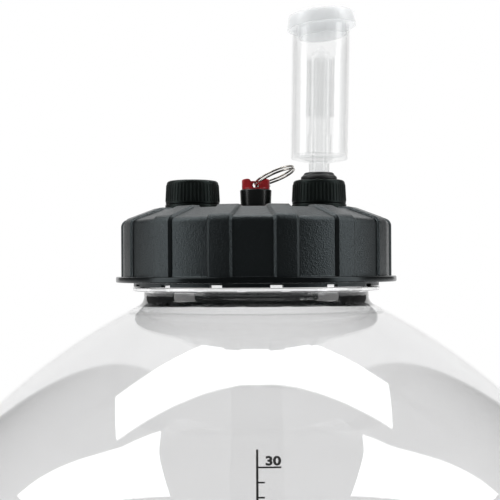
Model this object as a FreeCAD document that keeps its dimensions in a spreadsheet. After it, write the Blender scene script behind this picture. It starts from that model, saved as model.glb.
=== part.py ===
import FreeCAD, Part
import math
import os
import Sketcher
from FreeCAD import Placement, Rotation, Vector

# Fermentation jar with a screw lid, a pressure relief valve, a blank cap and an airlock.
# Millimetres and degrees. +Z is up and the floor is z = 0; the volume scale faces -Y.

driving = {
    # Fits between pieces
    "running_gap": 0.05,
    "loose_gap": 0.3,
    "overrun": 1.0,
    "thread_sink": 0.4,
    "thread_start": 50.0,
    # Jar: a crown and a knuckle below, a straight wall, a knuckle and a long shoulder above
    "tank_radius": 175.0,
    "tank_wall": 1.0,
    "tank_foot_gap": 6.0,
    "low_crown_radius": 230.0,
    "low_knuckle_radius": 120.0,
    "tank_straight": 164.0,
    "knuckle_radius": 98.0,
    "knuckle_angle": 44.0,
    "shoulder_radius": 322.0,
    # Neck of the jar
    "neck_radius": 62.0,
    "neck_bore": 58.5,
    "neck_fillet": 5.5,
    "neck_bore_fillet": 12.5,
    "neck_below_bead": 3.198,
    "bead_radius": 68.0,
    "bead_thickness": 1.9,
    "bead_round": 0.7,
    "neck_above_bead": 31.7,
    "neck_rim_round": 0.8,
    # Screw thread between neck and lid
    "neck_pitch": 7.0,
    "neck_turns": 1.25,
    "neck_thread_depth": 2.6,
    "neck_thread_root": 4.2,
    "neck_thread_crest": 1.6,
    "neck_thread_below_rim": 16.0,
    "neck_thread_gap": 0.4,
    # Lid
    "flange_radius": 77.2,
    "flange_thickness": 3.1,
    "flange_edge": 0.5,
    "flange_above_bead": 2.65,
    "lid_height": 38.5,
    "lid_top_thickness": 3.0,
    "panel_radius": 73.15,
    "lid_wall": 2.85,
    "lid_corner_height": 32.4,
    "lid_corner_radius": 3.0,
    "lid_chamfer_angle": 20.6,
    "skirt_wall": 2.6,
    "lip_gap": 0.4,
    "lip_notch_width": 6.5,
    "lip_notch_depth": 1.3,
    "lip_notch_count": 14,
    "lip_notch_angle": 8.6,
    "plug_wall": 2.5,
    "plug_length": 8.0,
    "groove_wall": 1.7,
    "gap_roof_drop": 2.8,
    "rib_count": 14,
    "rib_angle": 11.66,
    "rib_height": 1.25,
    "rib_base_width": 12.8,
    "rib_land_width": 8.9,
    "rib_sink": 0.05,
    "rib_depth": 1.2,
    "rib_end_radius": 51.5,
    # Seal between the rim and the lid
    "seal_height": 2.5,
    "seal_margin": 0.25,
    "seal_round": 0.9,
    # Threaded posts on the lid, and their caps
    "post_offset": 35.1,
    "post_height": 15.1,
    "post_radius": 12.5,
    "post_bore": 10.85,
    "post_collar_radius": 14.3,
    "post_collar_height": 1.05,
    "post_bead_radius": 13.7,
    "post_bead_height": 4.5,
    "post_bead_thickness": 0.8,
    "post_edge": 0.4,
    "post_pitch": 2.7,
    "post_turns": 1.5,
    "post_thread_depth": 1.1,
    "post_thread_root": 1.5,
    "post_thread_crest": 0.5,
    "post_thread_height": 8.0,
    "cap_gap": 0.25,
    "cap_base_radius": 15.1,
    "cap_top_radius": 14.5,
    "cap_base_height": 4.4,
    "cap_plate": 1.7,
    "cap_crown": 0.6,
    "cap_edge": 1.6,
    "cap_groove_count": 48,
    "cap_groove_radius": 0.45,
    "cap_groove_depth": 0.25,
    "liner_thickness": 1.0,
    "band_radius": 15.2,
    "band_bore": 13.95,
    "band_lip": 0.55,
    "band_height": 3.0,
    "band_gap": 0.25,
    # Rubber grommet of the airlock
    "grommet_neck": 8.0,
    "grommet_lip": 10.0,
    "grommet_tail": 9.6,
    "grommet_lip_side": 1.4,
    "grommet_lip_height": 3.9,
    "grommet_top_radius": 8.7,
    "grommet_tail_length": 5.0,
    # Airlock, measured along its own leaning axis from the middle of the cap's top
    "airlock_lean": 1.1,
    "stem_top_radius": 5.8,
    "stem_tip_radius": 5.1,
    "stem_tip": -15.0,
    "stem_root": 9.2,
    "stem_bore": 4.0,
    "cup_base": 11.2,
    "cup_base_radius": 15.8,
    "cup_top_radius": 16.0,
    "cup_corner": 1.3,
    "cup_wall": 1.3,
    "cup_floor": 13.3,
    "cup_rim": 88.9,
    "cup_rim_bead": 0.6,
    "cup_rim_height": 1.6,
    "tube_base_radius": 6.75,
    "tube_base_top": 25.0,
    "tube_foot_radius": 5.9,
    "tube_top_radius": 5.55,
    "tube_top": 66.5,
    "tube_slot_width": 1.5,
    "tube_slot_depth": 2.2,
    "float_radius": 7.8,
    "float_bore": 6.6,
    "float_bottom": 34.8,
    "float_shoulder": 67.2,
    "float_steps": 1.6,
    "float_tip_radius": 0.8,
    "float_tip": 74.4,
    "float_recess": 3.4,
    "float_recess_top": 71.0,
    "dust_tilt": -4.4,
    "dust_roof": 1.85,
    "dust_plate": 1.15,
    "dust_skirt": 4.7,
    "dust_top_radius": 18.2,
    "dust_base_radius": 19.2,
    "dust_wall": 1.1,
    "dust_edge": 0.7,
    "dust_plug_radius": 13.4,
    "dust_plug_length": 9.4,
    "vent_count": 6,
    "vent_radius": 0.8,
    "vent_circle": 8.0,
    # Pressure relief valve
    "valve_hole": 7.0,
    "valve_shank": 6.8,
    "valve_shank_length": 10.0,
    "valve_base_radius": 8.25,
    "valve_top_radius": 8.8,
    "valve_height": 12.4,
    "valve_edge": 0.6,
    "valve_bore": 5.4,
    "valve_seat_drop": 5.0,
    "valve_port": 2.6,
    "valve_inlet": 4.0,
    "valve_inlet_depth": 2.5,
    "valve_seal_depth": 1.25,
    "valve_seal_wall": 0.85,
    "nut_thickness": 4.5,
    "nut_radius": 10.8,
    "seat_seal_radius": 4.5,
    "seat_seal_thickness": 1.5,
    "poppet_radius": 4.8,
    "poppet_thickness": 1.5,
    "stem_rod_radius": 1.6,
    "retainer_thickness": 2.0,
    "retainer_drop": 1.8,
    "retainer_bore": 3.2,
    "hub_radius": 3.0,
    "hub_length": 3.4,
    "hub_socket": 2.6,
    "head_radius": 7.8,
    "head_height": 5.9,
    "head_round": 0.9,
    "valley_floor": 0.8,
    "valley_half_width": 2.0,
    "valley_shoulder": 2.4,
    "valley_shoulder_width": 2.75,
    "valley_top_width": 4.3,
    "lobe_depth": 4.4,
    "web_thickness": 2.2,
    "web_height": 4.9,
    "eye_height": 2.6,
    "eye_radius": 1.65,
    "spring_radius": 4.0,
    "spring_wire": 0.45,
    "spring_turns": 5,
    "ring_radius": 11.45,
    "ring_wire": 0.55,
    "ring_pitch": 1.55,
    "ring_turns": 2,
    "ring_rest_angle": 22.0,
    "ring_roll": 8.0,
    "ring_end_angle": 110.0,
    # Clear film with the volume scale
    "scale_width": 22.0,
    "scale_film": 0.15,
    "scale_gap": 0.2,
    "scale_top_radius": 99.0,
    # Stand under the round bottom
    "stand_height": 62.0,
    "stand_seat_depth": 9.0,
    "stand_foot_radius": 156.0,
    "stand_foot_wall": 3.5,
    "stand_rim_wall": 4.0,
    "stand_shelf": 3.0,
    "stand_wall_top": 46.0,
    "stand_slot_count": 6,
    "stand_slot_width": 46.0,
    "stand_slot_height": 9.0,
}

doc = FreeCAD.newDocument("fermentation_jar")
sheet = doc.addObject("Spreadsheet::Sheet", "sizes")
places = doc.addObject("Spreadsheet::Sheet", "places")
for row, (name, value) in enumerate(driving.items(), start=1):
    sheet.set(f"A{row}", name)
    sheet.set(f"B{row}", str(value))
    sheet.setAlias(f"B{row}", name)
doc.recompute()


# A size with both its formula, which the document's objects are bound to, and its value.
class Size:
    def __init__(self, text, value):
        self.text = text
        self.value = value

    def __add__(self, other):
        return join(self, "+", other, lambda a, b: a + b)

    def __radd__(self, other):
        return join(other, "+", self, lambda a, b: a + b)

    def __sub__(self, other):
        return join(self, "-", other, lambda a, b: a - b)

    def __rsub__(self, other):
        return join(other, "-", self, lambda a, b: a - b)

    def __mul__(self, other):
        return join(self, "*", other, lambda a, b: a * b)

    def __rmul__(self, other):
        return join(other, "*", self, lambda a, b: a * b)

    def __truediv__(self, other):
        return join(self, "/", other, lambda a, b: a / b)

    def __neg__(self):
        return Size(f"(-1 * {self.text})", -self.value)


def as_size(number):
    return number if isinstance(number, Size) else Size(repr(number), number)


def join(left, sign, right, rule):
    left = as_size(left)
    right = as_size(right)
    return Size(f"({left.text} {sign} {right.text})", rule(left.value, right.value))


def root(square):
    return Size(f"sqrt({square.text})", math.sqrt(square.value))


def sine(angle):
    return Size(f"sin({angle.text} * 1 deg)", math.sin(math.radians(angle.value)))


def cosine(angle):
    return Size(f"cos({angle.text} * 1 deg)", math.cos(math.radians(angle.value)))


def tangent(angle):
    return Size(f"tan({angle.text} * 1 deg)", math.tan(math.radians(angle.value)))


class DrivingSizes:
    def __getattr__(self, name):
        return Size(f"sizes.{name}", driving[name])


d = DrivingSizes()


# A place worked out once: its formula goes into the second sheet and is read from there.
def place(name, size):
    place.row += 1
    places.set(f"A{place.row}", name)
    places.set(f"B{place.row}", "=" + size.text)
    places.setAlias(f"B{place.row}", name)
    return Size(f"places.{name}", size.value)


place.row = 0

# Centres and heights of the jar
low_knuckle_r = place("low_knuckle_r", d.tank_radius - d.low_knuckle_radius)
low_reach = place("low_reach", d.low_crown_radius - d.low_knuckle_radius)
low_crown_z = place("low_crown_z", d.tank_foot_gap + d.low_crown_radius)
low_knuckle_z = place("low_knuckle_z",
                      low_crown_z - root(low_reach * low_reach - low_knuckle_r * low_knuckle_r))
straight_top_z = place("straight_top_z", low_knuckle_z + d.tank_straight)
knuckle_r = place("knuckle_r", d.tank_radius - d.knuckle_radius)
shoulder_step = place("shoulder_step", d.shoulder_radius - d.knuckle_radius)
shoulder_r = place("shoulder_r", knuckle_r - shoulder_step * sine(d.knuckle_angle))
shoulder_z = place("shoulder_z", straight_top_z - shoulder_step * cosine(d.knuckle_angle))


# Height at which a circle that touches the shoulder from outside has its centre
def rolling_height(reach, centre_r):
    across = centre_r - shoulder_r
    return shoulder_z + root(reach * reach - across * across)


neck_root_z = place("neck_root_z", rolling_height(d.shoulder_radius + d.neck_fillet,
                                                  d.neck_radius + d.neck_fillet))
bore_root_z = place("bore_root_z",
                    rolling_height(d.shoulder_radius - d.tank_wall + d.neck_bore_fillet,
                                   d.neck_bore + d.neck_bore_fillet))
bead_z = place("bead_z", neck_root_z + d.neck_below_bead)
bead_top_z = place("bead_top_z", bead_z + d.bead_thickness)
rim_z = place("rim_z", bead_top_z + d.neck_above_bead)
neck_thread_z = place("neck_thread_z", rim_z - d.neck_thread_below_rim)

# Heights and radii of the lid
flange_z = place("flange_z", bead_top_z + d.flange_above_bead)
flange_top_z = place("flange_top_z", flange_z + d.flange_thickness)
lid_top_z = place("lid_top_z", flange_z + d.lid_height)
ceiling_z = place("ceiling_z", lid_top_z - d.lid_top_thickness)
corner_z = place("corner_z", flange_z + d.lid_corner_height)
lid_top_edge = place("lid_top_edge",
                     d.panel_radius - (lid_top_z - corner_z) / tangent(d.lid_chamfer_angle))
half_turn = place("half_turn", 45 - d.lid_chamfer_angle / 2)
corner_arc_z = place("corner_arc_z", corner_z - d.lid_corner_radius * tangent(half_turn))
skirt_bore = place("skirt_bore", d.neck_radius + d.neck_thread_depth + d.neck_thread_gap)
skirt_outer = place("skirt_outer", skirt_bore + d.skirt_wall)
lip_z = place("lip_z", bead_top_z + d.lip_gap)
seal_top_z = place("seal_top_z", rim_z + d.running_gap + d.seal_height)
groove_z = place("groove_z", seal_top_z + d.running_gap)
land_z = place("land_z", groove_z - d.groove_wall)
plug_outer = place("plug_outer", d.neck_bore - d.loose_gap)
groove_outer = place("groove_outer", d.neck_radius + d.loose_gap)

# Heights of the posts and caps
post_rim_z = place("post_rim_z", lid_top_z + d.post_height)
post_thread_z = place("post_thread_z", lid_top_z + d.post_thread_height)
cap_base_z = place("cap_base_z", lid_top_z + d.cap_base_height)
liner_z = place("liner_z", post_rim_z + d.running_gap)
cap_ceiling_z = place("cap_ceiling_z", liner_z + d.liner_thickness + d.running_gap)
cap_top_z = place("cap_top_z", cap_ceiling_z + d.cap_plate)
cap_bore = place("cap_bore", d.post_radius + d.post_thread_depth + d.cap_gap)

# Heights of the relief valve
valve_top_z = place("valve_top_z", lid_top_z + d.valve_height)
valve_seat_z = place("valve_seat_z", lid_top_z - d.valve_seat_drop)
seat_seal_top_z = place("seat_seal_top_z", valve_seat_z + d.running_gap + d.seat_seal_thickness)
poppet_z = place("poppet_z", seat_seal_top_z + d.running_gap)
poppet_top_z = place("poppet_top_z", poppet_z + d.poppet_thickness)
retainer_top_z = place("retainer_top_z", valve_top_z - d.retainer_drop)
retainer_z = place("retainer_z", retainer_top_z - d.retainer_thickness)
head_z = place("head_z", valve_top_z + d.running_gap)
hub_z = place("hub_z", head_z - d.hub_length)
eye_z = place("eye_z", head_z + d.eye_height)
doc.recompute()


def origin_part(body, role):
    return next(part for part in body.Origin.OriginFeatures if part.Role == role)


# One corner of an outline, with the radius of the arc that leads to the next corner.
# A turn of +1 has the arc's centre on the left of the way along, and -1 on the right.
def corner(across, up, radius=None, turn=1):
    return as_size(across), as_size(up), radius, turn


def arc_between(start, end, radius, turn):
    middle = (start + end) * 0.5
    along = end - start
    half = along.Length / 2
    left = Vector(-along.y, along.x, 0).normalize()
    centre = middle + left * (turn * math.sqrt(max(radius * radius - half * half, 0)))
    first, last = (start, end) if turn > 0 else (end, start)
    angles = [math.atan2(point.y - centre.y, point.x - centre.x) for point in (first, last)]
    return Part.ArcOfCircle(Part.Circle(centre, Vector(0, 0, 1), radius), *angles)


def bind(sketch, index, size):
    sketch.setExpression(f"Constraints[{index}]", size.text)


# A closed outline on one of the body's own planes, every corner bound to the sheets
def outline(body, name, corners, role="XZ_Plane", shift=None):
    sketch = body.newObject("Sketcher::SketchObject", name)
    sketch.AttachmentSupport = [(origin_part(body, role), "")]
    sketch.MapMode = "FlatFace"
    if shift is not None:
        sketch.AttachmentOffset = Placement(Vector(0, 0, shift.value), Rotation())
        sketch.setExpression("AttachmentOffset.Base.z", shift.text)
    spots = [Vector(across.value, up.value, 0) for across, up, radius, turn in corners]
    ends = []
    for index, (across, up, radius, turn) in enumerate(corners):
        start = spots[index]
        end = spots[(index + 1) % len(spots)]
        if radius is None:
            sketch.addGeometry(Part.LineSegment(start, end), False)
        else:
            sketch.addGeometry(arc_between(start, end, radius.value, turn), False)
        ends.append((1, 2) if radius is None or turn > 0 else (2, 1))
    for index, (across, up, radius, turn) in enumerate(corners):
        following = (index + 1) % len(corners)
        sketch.addConstraint(Sketcher.Constraint("Coincident", index, ends[index][1],
                                                 following, ends[following][0]))
        first = ends[index][0]
        if across.value == 0:
            sketch.addConstraint(Sketcher.Constraint("PointOnObject", index, first, -2))
        else:
            bind(sketch, sketch.addConstraint(
                Sketcher.Constraint("DistanceX", -1, 1, index, first, across.value)), across)
        if up.value == 0:
            sketch.addConstraint(Sketcher.Constraint("PointOnObject", index, first, -1))
        else:
            bind(sketch, sketch.addConstraint(
                Sketcher.Constraint("DistanceY", -1, 1, index, first, up.value)), up)
        if radius is not None:
            bind(sketch, sketch.addConstraint(
                Sketcher.Constraint("Radius", index, radius.value)), radius)
    return sketch


# A circle at a place of a sketch on one of the body's own planes
def circle(body, name, across, up, radius, role="XY_Plane", shift=None):
    sketch = body.newObject("Sketcher::SketchObject", name)
    sketch.AttachmentSupport = [(origin_part(body, role), "")]
    sketch.MapMode = "FlatFace"
    if shift is not None:
        sketch.AttachmentOffset = Placement(Vector(0, 0, shift.value), Rotation())
        sketch.setExpression("AttachmentOffset.Base.z", shift.text)
    centre = Vector(across.value, up.value, 0)
    sketch.addGeometry(Part.Circle(centre, Vector(0, 0, 1), radius.value), False)
    bind(sketch, sketch.addConstraint(Sketcher.Constraint("Radius", 0, radius.value)), radius)
    for kind, size, axis in (("DistanceX", across, -2), ("DistanceY", up, -1)):
        if size.value == 0:
            sketch.addConstraint(Sketcher.Constraint("PointOnObject", 0, 3, axis))
        else:
            bind(sketch, sketch.addConstraint(
                Sketcher.Constraint(kind, -1, 1, 0, 3, size.value)), size)
    return sketch


def move(piece, across=None, up=None, lean=None):
    angle = lean.value if lean is not None else 0
    piece.Placement = Placement(Vector(0, 0, 0), Rotation(Vector(0, 1, 0), angle))
    if lean is not None:
        piece.setExpression("Placement.Rotation.Angle", lean.text)
    if across is not None:
        piece.setExpression("Placement.Base.x", across.text)
    if up is not None:
        piece.setExpression("Placement.Base.z", up.text)
    return piece


def turn_about_z(piece, angle):
    piece.Placement = Placement(Vector(0, 0, 0), Rotation(Vector(0, 0, 1), angle.value))
    piece.setExpression("Placement.Rotation.Angle", angle.text)


# A turned piece: an outline spun about the body's upright axis
def turned(name, corners):
    body = doc.addObject("PartDesign::Body", name)
    sketch = outline(body, name + "_outline", corners)
    spin = body.newObject("PartDesign::Revolution", name + "_turned")
    spin.Profile = sketch
    spin.ReferenceAxis = (sketch, ["V_Axis"])
    spin.Angle = 360
    sketch.Visibility = False
    return body


def pocket(body, sketch, length, midplane=False, reverse=False):
    cut = body.newObject("PartDesign::Pocket", sketch.Name + "_cut")
    cut.Profile = sketch
    if midplane:
        cut.SideType = "Symmetric"
    cut.Reversed = reverse
    cut.setExpression("Length", length.text)
    return cut


def polar(body, feature, count):
    pattern = body.newObject("PartDesign::PolarPattern", feature.Name + "_round")
    pattern.Originals = [feature]
    pattern.Axis = (origin_part(body, "Z_Axis"), [""])
    pattern.Angle = 360
    pattern.setExpression("Occurrences", count.text)
    body.Tip = pattern
    return pattern


def boolean(kind, name, base, tools):
    result = doc.addObject(kind, name)
    if kind == "Part::MultiFuse":
        result.Shapes = [base] + tools
    else:
        result.Base = base
        result.Tool = tools[0]
    return result


def fused(name, *pieces):
    return boolean("Part::MultiFuse", name, pieces[0], list(pieces[1:]))


def cut_from(name, base, tool):
    return boolean("Part::Cut", name, base, [tool])


def cylinder(name, radius, low, high, across=None, lean=None):
    piece = doc.addObject("Part::Cylinder", name)
    piece.setExpression("Radius", radius.text)
    piece.setExpression("Height", (high - low).text)
    return move(piece, across, low, lean)


# A ridge that climbs round an upright wall, from its root radius to its crest radius
def thread_ridge(name, root_radius, crest_radius, start_z, pitch, turns, root_width, crest_width):
    outward = 1 if crest_radius > root_radius else -1
    inside = root_radius - outward * d.thread_sink.value
    spread = (root_width - crest_width) / 2 * d.thread_sink.value / abs(crest_radius - root_radius)
    half_inside = root_width / 2 + spread
    half_crest = crest_width / 2
    profile = Part.makePolygon([Vector(inside, 0, -half_inside),
                                Vector(crest_radius, 0, -half_crest),
                                Vector(crest_radius, 0, half_crest),
                                Vector(inside, 0, half_inside),
                                Vector(inside, 0, -half_inside)])
    helix = Part.makeHelix(pitch, pitch * turns, crest_radius)
    ridge = Part.Wire(helix.Edges).makePipeShell([profile], True, True)
    piece = doc.addObject("Part::Feature", name)
    piece.Shape = ridge
    turn_about_z(piece, d.thread_start)
    piece.Placement.Base = Vector(0, 0, start_z)
    return piece


# One arc of a wire's middle line, from its ends and the meeting point of its end tangents
def tangent_arc(start, apex, end):
    middle = (start + end) * 0.5
    half_chord = (end - start).Length / 2
    side = (apex - start).Length
    cos_half = half_chord / side
    radius = half_chord / math.sqrt(1 - cos_half * cos_half)
    sagitta = radius * (1 - cos_half)
    return Part.Arc(start, middle + (apex - middle).normalize() * sagitta, end).toShape()


# A round wire wound into a coil about Z, on pairs of arcs for each quarter turn
def coil(radius, pitch, turns, wire_radius):
    def spot(angle):
        return Vector(radius * math.cos(angle), radius * math.sin(angle),
                      pitch * angle / (2 * math.pi))

    def heading(angle):
        step = Vector(-radius * math.sin(angle), radius * math.cos(angle), pitch / (2 * math.pi))
        return step.normalize()

    edges = []
    quarters = int(round(4 * turns))
    for quarter in range(quarters):
        low, high = quarter * math.pi / 2, (quarter + 1) * math.pi / 2
        start, end = spot(low), spot(high)
        first, last = heading(low), heading(high)
        chord = end - start
        both = first + last
        spare = 2 * (1 - first.dot(last))
        along = chord.dot(both)
        reach = (math.sqrt(along * along + spare * chord.dot(chord)) - along) / spare
        apexes = start + first * reach, end - last * reach
        meeting = (apexes[0] + apexes[1]) * 0.5
        edges.append(tangent_arc(start, apexes[0], meeting))
        edges.append(tangent_arc(meeting, apexes[1], end))
    path = Part.Wire(edges)
    section = Part.Wire(Part.Circle(spot(0), heading(0), wire_radius).toShape())
    tube = path.makePipeShell([section], True, False)
    samples = [spot(step * math.pi / 36) for step in range(int(72 * turns) + 1)]
    gap = min((samples[i] - samples[j]).Length - 2 * wire_radius
              for i in range(len(samples)) for j in range(i + 36, len(samples)))
    print(f"coil of radius {radius} mm: least gap to itself {gap:.2f} mm, "
          f"volume over section times length "
          f"{tube.Volume / (math.pi * wire_radius ** 2 * path.Length):.4f}")
    return tube


# Jar

def shoulder_height(radius, offset):
    return rolling_height(d.shoulder_radius + offset, radius)


# The point where the arcs of knuckle and shoulder meet, at a distance out from the wall
def shoulder_joint(offset, radius=None, turn=1):
    reach = d.knuckle_radius + offset
    return corner(knuckle_r + reach * sine(d.knuckle_angle),
                  straight_top_z + reach * cosine(d.knuckle_angle), radius, turn)


def low_joint(offset, radius, turn):
    share = (d.low_crown_radius + offset) / low_reach
    return corner(low_knuckle_r * share, low_crown_z + (low_knuckle_z - low_crown_z) * share,
                  radius, turn)


# The point where the shoulder meets a fillet of the neck
def neck_joint(shoulder, centre_r, centre_z, fillet, next_radius, turn):
    share = shoulder / (shoulder + fillet)
    return corner(shoulder_r + (centre_r - shoulder_r) * share,
                  shoulder_z + (centre_z - shoulder_z) * share, next_radius, turn)


def make_tank():
    inside = -d.tank_wall
    rounding = d.bead_round
    rim_round = d.neck_rim_round
    body = turned("tank_shell", [
        corner(0, d.tank_foot_gap, d.low_crown_radius),
        low_joint(0 * d.tank_wall, d.low_knuckle_radius, 1),
        corner(d.tank_radius, low_knuckle_z),
        corner(d.tank_radius, straight_top_z, d.knuckle_radius),
        shoulder_joint(0 * d.tank_wall, d.shoulder_radius),
        neck_joint(d.shoulder_radius, d.neck_radius + d.neck_fillet, neck_root_z,
                   d.neck_fillet, d.neck_fillet, -1),
        corner(d.neck_radius, neck_root_z),
        corner(d.neck_radius, bead_z),
        corner(d.bead_radius - rounding, bead_z, rounding),
        corner(d.bead_radius, bead_z + rounding),
        corner(d.bead_radius, bead_top_z - rounding, rounding),
        corner(d.bead_radius - rounding, bead_top_z),
        corner(d.neck_radius, bead_top_z),
        corner(d.neck_radius, rim_z - rim_round, rim_round),
        corner(d.neck_radius - rim_round, rim_z),
        corner(d.neck_bore + rim_round, rim_z, rim_round),
        corner(d.neck_bore, rim_z - rim_round),
        corner(d.neck_bore, bore_root_z, d.neck_bore_fillet),
        neck_joint(d.shoulder_radius + inside, d.neck_bore + d.neck_bore_fillet, bore_root_z,
                   d.neck_bore_fillet, d.shoulder_radius + inside, -1),
        shoulder_joint(inside, d.knuckle_radius + inside, -1),
        corner(d.tank_radius + inside, straight_top_z),
        corner(d.tank_radius + inside, low_knuckle_z, d.low_knuckle_radius + inside, -1),
        low_joint(inside, d.low_crown_radius + inside, -1),
        corner(0, d.tank_foot_gap + d.tank_wall),
    ])
    thread = thread_ridge("neck_thread", d.neck_radius.value,
                          (d.neck_radius + d.neck_thread_depth).value, neck_thread_z.value,
                          d.neck_pitch.value, d.neck_turns.value,
                          d.neck_thread_root.value, d.neck_thread_crest.value)
    return fused("tank", body, thread)


# A clear film that lies on the front of the shoulder and the straight wall
def make_volume_scale():
    low = d.scale_gap
    high = d.scale_gap + d.scale_film
    band = turned("scale_band", [
        corner(d.scale_top_radius, shoulder_height(d.scale_top_radius, low),
               d.shoulder_radius + low, -1),
        shoulder_joint(low, d.knuckle_radius + low, -1),
        corner(d.tank_radius + low, straight_top_z),
        corner(d.tank_radius + low, low_knuckle_z),
        corner(d.tank_radius + high, low_knuckle_z),
        corner(d.tank_radius + high, straight_top_z, d.knuckle_radius + high),
        shoulder_joint(high, d.shoulder_radius + high),
        corner(d.scale_top_radius, shoulder_height(d.scale_top_radius, high)),
    ])
    window = doc.addObject("Part::Box", "scale_window")
    window.setExpression("Length", d.scale_width.text)
    window.setExpression("Width", (d.tank_radius + d.overrun).text)
    window.setExpression("Height", rim_z.text)
    window.setExpression("Placement.Base.x", (-(d.scale_width / 2)).text)
    window.setExpression("Placement.Base.y", (-(d.tank_radius + d.overrun)).text)
    return boolean("Part::Common", "volume_scale", band, [window])


# A ring whose top edge follows the jar's lower knuckle, with drain slots at the floor
def make_stand():
    gap = d.loose_gap
    joint_z = low_joint(gap, None, 1)[1]
    seat_low = d.stand_height - d.stand_seat_depth

    # The seat follows the tank's knuckle, and below their joint the tank's crown
    def seat_corner(height):
        on_knuckle = height.value > joint_z.value
        reach = (d.low_knuckle_radius if on_knuckle else d.low_crown_radius) + gap
        drop = (low_knuckle_z if on_knuckle else low_crown_z) - height
        across = root(reach * reach - drop * drop)
        return corner(low_knuckle_r + across if on_knuckle else across, height, reach, -1)

    seat = [seat_corner(d.stand_height)]
    if seat_low.value < joint_z.value < d.stand_height.value:
        seat.append(low_joint(gap, d.low_crown_radius + gap, -1))
    seat_low_r = seat_corner(seat_low)[0]
    rim_outer = seat[0][0] + d.stand_rim_wall
    share = (d.stand_wall_top - d.stand_shelf) / (d.stand_height - d.stand_shelf)
    wall_r = d.stand_foot_radius + (rim_outer - d.stand_foot_radius) * share
    body = turned("stand_body", [
        corner(d.stand_foot_radius, 0),
        corner(d.stand_foot_radius, d.stand_shelf),
        corner(rim_outer, d.stand_height),
        *seat,
        corner(seat_low_r, seat_low),
        corner(seat_low_r, seat_low - d.stand_shelf),
        corner(wall_r - d.stand_foot_wall, d.stand_wall_top),
        corner(d.stand_foot_radius - d.stand_foot_wall, d.stand_shelf),
        corner(d.stand_foot_radius - d.stand_foot_wall, 0),
    ])
    half = d.stand_slot_width / 2
    slot = outline(body, "stand_slot", [
        corner(-half, 0 - d.overrun),
        corner(half, 0 - d.overrun),
        corner(half - d.stand_slot_height, d.stand_slot_height),
        corner(-half + d.stand_slot_height, d.stand_slot_height),
    ])
    cut = pocket(body, slot, d.stand_foot_radius + d.overrun)
    polar(body, cut, d.stand_slot_count)
    return body


# Lid

def rib_section(body, name, offset, shift):
    slope = d.lid_chamfer_angle
    reach = d.lid_corner_radius + offset
    arc_end_r = d.panel_radius - d.lid_corner_radius + reach * sine(slope)
    arc_end_z = corner_arc_z + reach * cosine(slope)
    land_z_here = lid_top_z + offset
    return outline(body, name, [
        corner(d.panel_radius - d.rib_depth, flange_top_z),
        corner(d.panel_radius + offset, flange_top_z),
        corner(d.panel_radius + offset, corner_arc_z, reach),
        corner(arc_end_r, arc_end_z),
        corner(arc_end_r - (land_z_here - arc_end_z) / tangent(slope), land_z_here),
        corner(d.rib_end_radius, land_z_here),
        corner(d.rib_end_radius, lid_top_z - d.rib_depth),
        corner(lid_top_edge - d.rib_depth, lid_top_z - d.rib_depth),
        corner(d.panel_radius - d.rib_depth, corner_z - d.lid_top_thickness),
    ], shift=shift)


# The lid's shell, with its ribs, turned to where the ribs stand on the real lid
def make_lid_shell():
    slope = d.lid_chamfer_angle
    edge = d.flange_edge
    body = turned("lid_shell", [
        corner(d.valve_hole, ceiling_z),
        corner(plug_outer - d.plug_wall, ceiling_z),
        corner(plug_outer - d.plug_wall, rim_z - d.plug_length),
        corner(plug_outer, rim_z - d.plug_length),
        corner(plug_outer, groove_z),
        corner(groove_outer, groove_z),
        corner(groove_outer, land_z),
        corner(skirt_bore, land_z),
        corner(skirt_bore, lip_z),
        corner(skirt_outer, lip_z),
        corner(skirt_outer, corner_z - d.gap_roof_drop),
        corner(d.panel_radius - d.lid_wall, corner_z - d.gap_roof_drop),
        corner(d.panel_radius - d.lid_wall, flange_z),
        corner(d.flange_radius - edge, flange_z),
        corner(d.flange_radius, flange_z + edge),
        corner(d.flange_radius, flange_top_z - edge),
        corner(d.flange_radius - edge, flange_top_z),
        corner(d.panel_radius, flange_top_z),
        corner(d.panel_radius, corner_arc_z, d.lid_corner_radius),
        corner(d.panel_radius - d.lid_corner_radius + d.lid_corner_radius * sine(slope),
               corner_arc_z + d.lid_corner_radius * cosine(slope)),
        corner(lid_top_edge, lid_top_z),
        corner(d.valve_hole, lid_top_z),
    ])
    sections = [
        rib_section(body, "rib_foot_left", -d.rib_sink, -d.rib_base_width / 2),
        rib_section(body, "rib_land_left", d.rib_height, -d.rib_land_width / 2),
        rib_section(body, "rib_land_right", d.rib_height, d.rib_land_width / 2),
        rib_section(body, "rib_foot_right", -d.rib_sink, d.rib_base_width / 2),
    ]
    rib = body.newObject("PartDesign::AdditiveLoft", "lid_rib")
    rib.Profile = sections[0]
    rib.Sections = sections[1:]
    rib.Ruled = True
    polar(body, rib, d.rib_count)
    turn_about_z(body, d.rib_angle - 90)
    return body


# A short round post with a screw thread, standing on the lid
def make_post(side, name):
    offset = side * d.post_offset
    edge = d.post_edge
    bead_low = lid_top_z + d.post_bead_height
    collar_top = lid_top_z + d.post_collar_height
    post = turned(name, [
        corner(d.post_bore, lid_top_z - d.rib_depth),
        corner(d.post_collar_radius, lid_top_z - d.rib_depth),
        corner(d.post_collar_radius, collar_top),
        corner(d.post_radius, collar_top),
        corner(d.post_radius, bead_low - (d.post_bead_radius - d.post_radius)),
        corner(d.post_bead_radius, bead_low),
        corner(d.post_bead_radius, bead_low + d.post_bead_thickness),
        corner(d.post_radius, bead_low + d.post_bead_thickness),
        corner(d.post_radius, post_rim_z - edge),
        corner(d.post_radius - edge, post_rim_z),
        corner(d.post_bore + edge, post_rim_z),
        corner(d.post_bore, post_rim_z - edge),
    ])
    thread = thread_ridge(name + "_thread", d.post_radius.value,
                          (d.post_radius + d.post_thread_depth).value, post_thread_z.value,
                          d.post_pitch.value, d.post_turns.value,
                          d.post_thread_root.value, d.post_thread_crest.value)
    return move(fused(name + "_threaded", post, thread), offset)


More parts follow.
